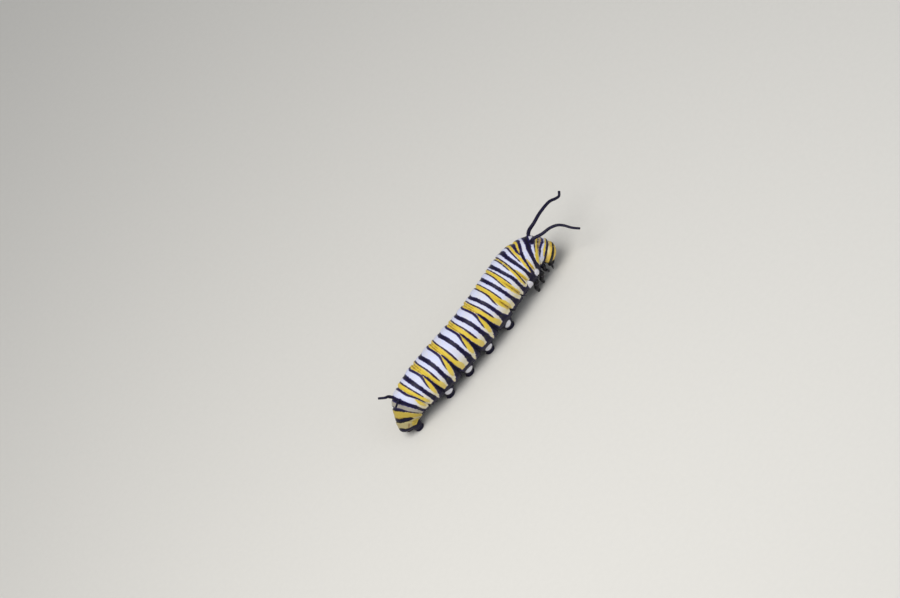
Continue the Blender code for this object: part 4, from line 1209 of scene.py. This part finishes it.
def jointed_tube(knots, radii, joints, rings, corners):
    """A limb of hard plates: a tube that narrows in a bell at each joint, and how much of it is membrane,
    whose grey is partly a painted highlight.
    """
    path = smooth_path(knots, rings)
    share = np.linspace(0, 1, rings)
    sizes = np.interp(share, np.linspace(0, 1, len(radii)), radii)
    membrane_and_highlight = np.zeros(rings)
    for joint in joints:
        away = share - joint
        neck = JOINT_NECK[0] * bell(away, JOINT_NECK[1])
        swelling = JOINT_SWELLING[0] * bell(away + 0.05, JOINT_SWELLING[1])
        sizes = sizes * (1 - neck + swelling)
        membrane_and_highlight = np.maximum(membrane_and_highlight, ramp(bell(away, JOINT_MEMBRANE), 0.5, 0.95))
    return tube_rings(path, sizes * round_tip(share, 0.06), corners), np.repeat(membrane_and_highlight, corners)


def hard_piece(name, tubes):
    """One piece of hard plates from closed tubes of rings, with its membrane attribute, which also places a
    painted highlight at each joint.
    """
    piece = mesh_object(name, *joined([closed_grid(rings) for rings, _ in tubes]))
    marks = [np.append(membrane_and_highlight, (0.0, 0.0)) for _, membrane_and_highlight in tubes]
    set_attribute(piece, "membrane_and_highlight", np.concatenate(marks))
    return piece


class LARVA_OT_mouth(bpy.types.Operator):
    """Makes the lips, the jaws and the three-jointed antennae"""

    bl_idname = "larva.mouth"
    bl_label = "Mouth"

    def execute(self, context):
        finish = hard_shell()
        for name, line, radii, widen, paired, joints in MOUTH:
            for side, word in ((1, "_left"), (-1, "_right")) if paired else ((1, ""),):
                knots = np.array(line) * (1, side, 1)
                rings, membrane_and_highlight = jointed_tube(knots, radii, joints, rings=40, corners=26)
                middle = rings.mean(axis=1, keepdims=True)
                rings = middle + (rings - middle) * (1, widen, 1)
                rings = head_point(rings[..., 0], rings[..., 1], rings[..., 2])
                piece = hard_piece(name + word + "_shell", [(rings, membrane_and_highlight)])
                put_on(piece, finish, "head_shell", name + word)
        return {"FINISHED"}


def true_leg(k, side):
    """A jointed leg of the k-th segment and its curved claw, each as its rings and its membrane."""
    leg = TRUE_LEGS[k]
    along, turn = leg["root"]
    ahead, out, height = leg["tip"]
    forward, left = level_axes(k)
    up = np.array((0.0, 0.0, 1.0))
    root, outward = skin_point(k + along, side * turn), skin_normal(k + along, side * turn)
    hip = root + HIP_OUT * outward
    tip = np.array((*ROWS[k][:2], height)) + ahead * forward + side * out * left
    knee = (hip + tip) / 2 + KNEE_AHEAD * forward
    ankle = tip + side * ANKLE_OUT * left + ANKLE_AHEAD * forward + ANKLE_UP * up
    knots = [root - LEG_ROOT_DEPTH * outward, hip, knee, ankle, tip]
    bend, end = (tip + high * up - side * inward * left for inward, high in (CLAW_BEND, CLAW_END))
    claw = [(ankle + tip) / 2, bend, end]
    tubes = (
        jointed_tube(knots, np.array(LEG_RADII) * leg["girth"], LEG_JOINTS, rings=90, corners=28),
        jointed_tube(claw, np.array(CLAW_RADII) * leg["girth"], (), rings=20, corners=12),
    )
    return [(above_floor(rings), membrane_and_highlight) for rings, membrane_and_highlight in tubes]


class LARVA_OT_legs(bpy.types.Operator):
    """Makes the three pairs of jointed legs with their claws"""

    bl_idname = "larva.legs"
    bl_label = "True legs"

    def execute(self, context):
        finish = hard_shell()
        for k in TRUE_LEGS:
            for side, word in ((1, "left"), (-1, "right")):
                piece = hard_piece(f"leg_{k}_{word}_shell", true_leg(k, side))
                put_on(piece, finish, "head_shell", f"leg_{k}_{word}")
        return {"FINISHED"}


def breathing_hole(t, degrees):
    """Rings of one breathing hole: an oval rim whose height over the skin follows SPIRACLE_RIM."""
    where = np.array([t]), np.array([degrees])
    root = body_surface(*where, skin_relief(*where, markings(*where)))[0]
    outward = skin_normal(t, degrees)
    along = unit(skin_point(t - 0.05, degrees) - skin_point(t + 0.05, degrees))
    radius, height = smooth_path(SPIRACLE_RIM, SPIRACLE_RINGS)[..., None, None].transpose(1, 0, 2, 3)
    turn = angles_round(SPIRACLE_CORNERS)[:, None]
    size = LAST_SPIRACLE_SIZE if t == SPIRACLES[-1] else SPIRACLE_SIZE
    flat = SPIRACLE_WIDTH * np.cos(turn) * along + np.sin(turn) * np.cross(outward, along)
    return (root + size * radius * flat + height * outward)[::-1]


class LARVA_OT_spiracles(bpy.types.Operator):
    """Makes the breathing holes along both sides"""

    bl_idname = "larva.spiracles"
    bl_label = "Breathing holes"

    def execute(self, context):
        turns = (SPIRACLE_TURN, -SPIRACLE_TURN)
        parts = [closed_grid(breathing_hole(t, degrees)) for t in SPIRACLES for degrees in turns]
        piece = mesh_object("breathing_holes", *joined(parts))
        put_on(piece, plain_finish("hard_black_rim", "#09080B", (0.18, 0.32), ior=1.55), "dark_skin")
        return {"FINISHED"}


class LARVA_OT_hooks(bpy.types.Operator):
    """Makes the rows of small hooks round the inner edge of each foot"""

    bl_idname = "larva.hooks"
    bl_label = "Foot hooks"

    def execute(self, context):
        parts = []
        for sole, _, size, _, side in proleg_places():
            for angle in np.radians(np.linspace(-HOOK_ARC, HOOK_ARC, HOOKS_PER_FOOT)):
                out = np.array((math.sin(angle), -side * math.cos(angle), 0.0))
                edge = sole + out * (*size * HOOK_EDGE, 0.0)
                knots = [edge + out * away + (0.0, 0.0, high) for away, high in HOOK_LINE]
                rings = tube_rings(smooth_path(knots, len(HOOK_RADII)), HOOK_RADII, 5)
                parts.append(closed_grid(above_floor(rings)))
        hooks = mesh_object("foot_hooks", *joined(parts))
        put_on(hooks, plain_finish("amber_hook", "#4A2A14", (0.25, 0.4), ior=1.55), "dark_skin")
        return {"FINISHED"}


def hair_mesh(roots, directions, lengths, uv):
    """Thin three-sided spikes that bend a little: rings at the root and the middle, and a point."""
    helper = np.where(np.abs(directions[:, 2:]) < 0.9, ((0.0, 0.0, 1.0),), ((1.0, 0.0, 0.0),))
    across = unit(np.cross(directions, helper))
    third = np.cross(directions, across)
    turn = np.radians((0, 120, 240))[None, :, None]
    circle = (np.cos(turn) * across[:, None] + np.sin(turn) * third[:, None]) * HAIR_RADIUS
    bend = across * (lengths * HAIR_BEND)[:, None]
    base = roots[:, None] - directions[:, None] * HAIR_ROOT + circle
    waist = (roots + directions * (lengths * HAIR_WAIST)[:, None] + bend)[:, None] + circle * HAIR_TAPER
    tip = (roots + directions * lengths[:, None] + bend * HAIR_TIP_BEND)[:, None]
    points = np.concatenate([base, waist, tip], axis=1).reshape(-1, 3)
    faces = (HAIR_FACES[None] + (np.arange(len(roots)) * HAIR_POINTS)[:, None, None]).reshape(-1, 3)
    return above_floor(points), faces, (uv[:, None] + HAIR_CORNERS[None]).reshape(-1, 2)


class LARVA_OT_hairs(bpy.types.Operator):
    """Makes the sparse fine hairs, which are longest low on the side and on the prolegs"""

    bl_idname = "larva.hairs"
    bl_label = "Fine hairs"

    def execute(self, context):
        shape = context.scene.larva_shape
        count = shape.hair_count
        skin = bpy.data.objects["larva_skin"].data
        points = mesh_array(skin.vertices, "co", 3, float) / MM + MIDDLE
        normals = mesh_array(skin.vertex_normals, "vector", 3, float)
        t, degrees = body_places(points)
        centre, *_, half_width, _ = ring_frame(t)
        low = ramp(np.abs(degrees), *HAIR_TURNS)
        out = np.linalg.norm(points - centre, axis=1) / half_width
        keep = (out < FEELER_OUT) & (points[:, 2] > BARE_HEIGHT) & (normals[:, 2] > BARE_SOLE)
        keep &= (t > BARE_NECK) & ((t > BARE_FRONT) | (np.abs(degrees) > BARE_FRONT_TURN))
        draw = np.random.default_rng(SEED)
        weight = keep * (HAIR_SPARSE + low) * np.where(out > LIMB_OUT, HAIR_LIMBS, 1.0)
        chosen = draw.choice(len(points), size=count, replace=False, p=weight / weight.sum())
        directions = unit(normals[chosen] + draw.normal(0, HAIR_LEAN, (count, 3)))
        lengths = shape.hair_length / MM * (HAIR_SHORT + (1 - HAIR_SHORT) * low[chosen])
        lengths = lengths * draw.uniform(*HAIR_SPREAD, count)
        uv = np.column_stack([t[chosen] / len(ROWS), degrees[chosen] / UV_TURN + 0.5])
        hair_points, faces, spots = hair_mesh(points[chosen], directions, lengths, uv)
        hairs = mesh_object("fine_hairs", hair_points, faces.tolist())
        layer = hairs.data.uv_layers.new(name="OFBake")
        layer.data.foreach_set("uv", spots[faces.ravel()].astype(np.float32).ravel())
        black, spot = (mesh_array(skin.attributes[name].data, "value")[chosen] for name in ("black", "spot"))
        set_attribute(hairs, "dark", np.repeat(ramp(np.minimum(black, -spot), -0.05, 0.05), HAIR_POINTS))
        put_on(hairs, fine_hair(), "dark_skin")
        return {"FINISHED"}


# Stage


def placed(name, data, right, back, location):
    """An object in the scene that looks along minus back, with its right and its place in metres given."""
    turn = np.eye(4)
    turn[:3] = np.column_stack([right, np.cross(back, right), back, location])
    made = bpy.data.objects.new(name, data)
    made.matrix_world = Matrix(turn.tolist())
    bpy.context.scene.collection.objects.link(made)
    return made


def area_light(name, place, size, power, colour):
    """A square light at a place in mm from the model's origin, turned to the larva."""
    light = bpy.data.lights.new(name, "AREA")
    light.shape = "SQUARE"
    light.size = size * MM
    light.energy = power
    light.color = colour
    back = unit(np.array(place, float) - LIGHT_TARGET)
    placed(name, light, unit(np.cross((0.0, 0.0, 1.0), back)), back, np.array(place) * MM)


class LARVA_OT_stage(bpy.types.Operator):
    """Makes the floor, the light and the camera"""

    bl_idname = "larva.stage"
    bl_label = "Stage"

    def execute(self, context):
        stage = context.scene.larva_stage
        steps = (-FLOOR_HALF, 0.0, FLOOR_HALF)
        points = [(x, y, 0.0) for x in steps for y in steps]
        faces = [(r * 3 + c, r * 3 + 3 + c, r * 3 + 4 + c, r * 3 + 1 + c) for r in range(2) for c in range(2)]
        mesh = bpy.data.meshes.new("floor")
        mesh.from_pydata(points, [], faces)
        paper = plain_finish(
            "matt_paper", "#DEDCD6", (0.75, 0.9), ior=1.45, repeats=1.2, strength=0.05, deepest=0.95
        )
        mesh.materials.append(paper)
        floor = bpy.data.objects.new("floor", mesh)
        context.scene.collection.objects.link(floor)
        floor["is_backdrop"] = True
        camera = bpy.data.cameras.new("photo_camera")
        camera.lens = stage.lens
        camera.sensor_width = 36.0
        camera.sensor_fit = "HORIZONTAL"
        camera.clip_start = 0.01
        camera.clip_end = 5.0
        camera.dof.use_dof = False
        back = np.array((0.0, -math.cos(stage.elevation), math.sin(stage.elevation)))
        level = np.array((0.0, math.sin(stage.elevation), math.cos(stage.elevation)))
        right = math.cos(stage.roll) * np.array((1.0, 0.0, 0.0)) - math.sin(stage.roll) * level
        location = CAMERA_TARGET * MM + back * stage.distance
        context.scene.camera = placed("photo_camera", camera, right, back, location)
        area_light("key", KEY_PLACE, KEY_SIZE, stage.key, KEY_COLOUR)
        area_light("fill", FILL_PLACE, FILL_SIZE, stage.fill, FILL_COLOUR)
        world = bpy.data.worlds.new("pale_room")
        world.use_nodes = True
        colour, strength = world.node_tree.nodes["Background"].inputs[:2]
        colour.default_value = SKY_COLOUR
        strength.default_value = stage.sky
        context.scene.world = world
        context.scene.view_settings.view_transform = "Standard"
        return {"FINISHED"}


class LARVA_PT_panel(bpy.types.Panel):
    """Lists the pieces of the larva"""

    bl_idname = "LARVA_PT_panel"
    bl_label = "Larva"
    bl_space_type = "VIEW_3D"
    bl_region_type = "UI"
    bl_category = "Larva"

    def draw(self, context):
        for operator in OPERATORS:
            self.layout.operator(operator.bl_idname)
        for group in (context.scene.larva_shape, context.scene.larva_colours, context.scene.larva_stage):
            box = self.layout.box()
            for name in group.__annotations__:
                box.prop(group, name)


OPERATORS = (
    LARVA_OT_skin,
    LARVA_OT_head,
    LARVA_OT_eyes,
    LARVA_OT_mouth,
    LARVA_OT_legs,
    LARVA_OT_spiracles,
    LARVA_OT_hooks,
    LARVA_OT_hairs,
    LARVA_OT_stage,
)
GROUPS = (("larva_shape", LarvaShape), ("larva_colours", LarvaColours), ("larva_stage", LarvaStage))


def register():
    """Adds the settings to the scene, and the operators and the panel."""
    for name, group in GROUPS:
        bpy.utils.register_class(group)
        setattr(bpy.types.Scene, name, bpy.props.PointerProperty(type=group))
    for operator in OPERATORS:
        bpy.utils.register_class(operator)
    bpy.utils.register_class(LARVA_PT_panel)


def unregister():
    """Takes away what register adds."""
    bpy.utils.unregister_class(LARVA_PT_panel)
    for operator in reversed(OPERATORS):
        bpy.utils.unregister_class(operator)
    for name, group in reversed(GROUPS):
        delattr(bpy.types.Scene, name)
        bpy.utils.unregister_class(group)


def main():
    register()
    for operator in OPERATORS:
        group, name = operator.bl_idname.split(".")
        getattr(getattr(bpy.ops, group), name)()
    boxes = {"solids": SOLIDS_BOX, "pieces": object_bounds()}
    boxes = {name: [list(corner) for corner in box] for name, box in boxes.items()}


if __name__ == "__main__":
    main()
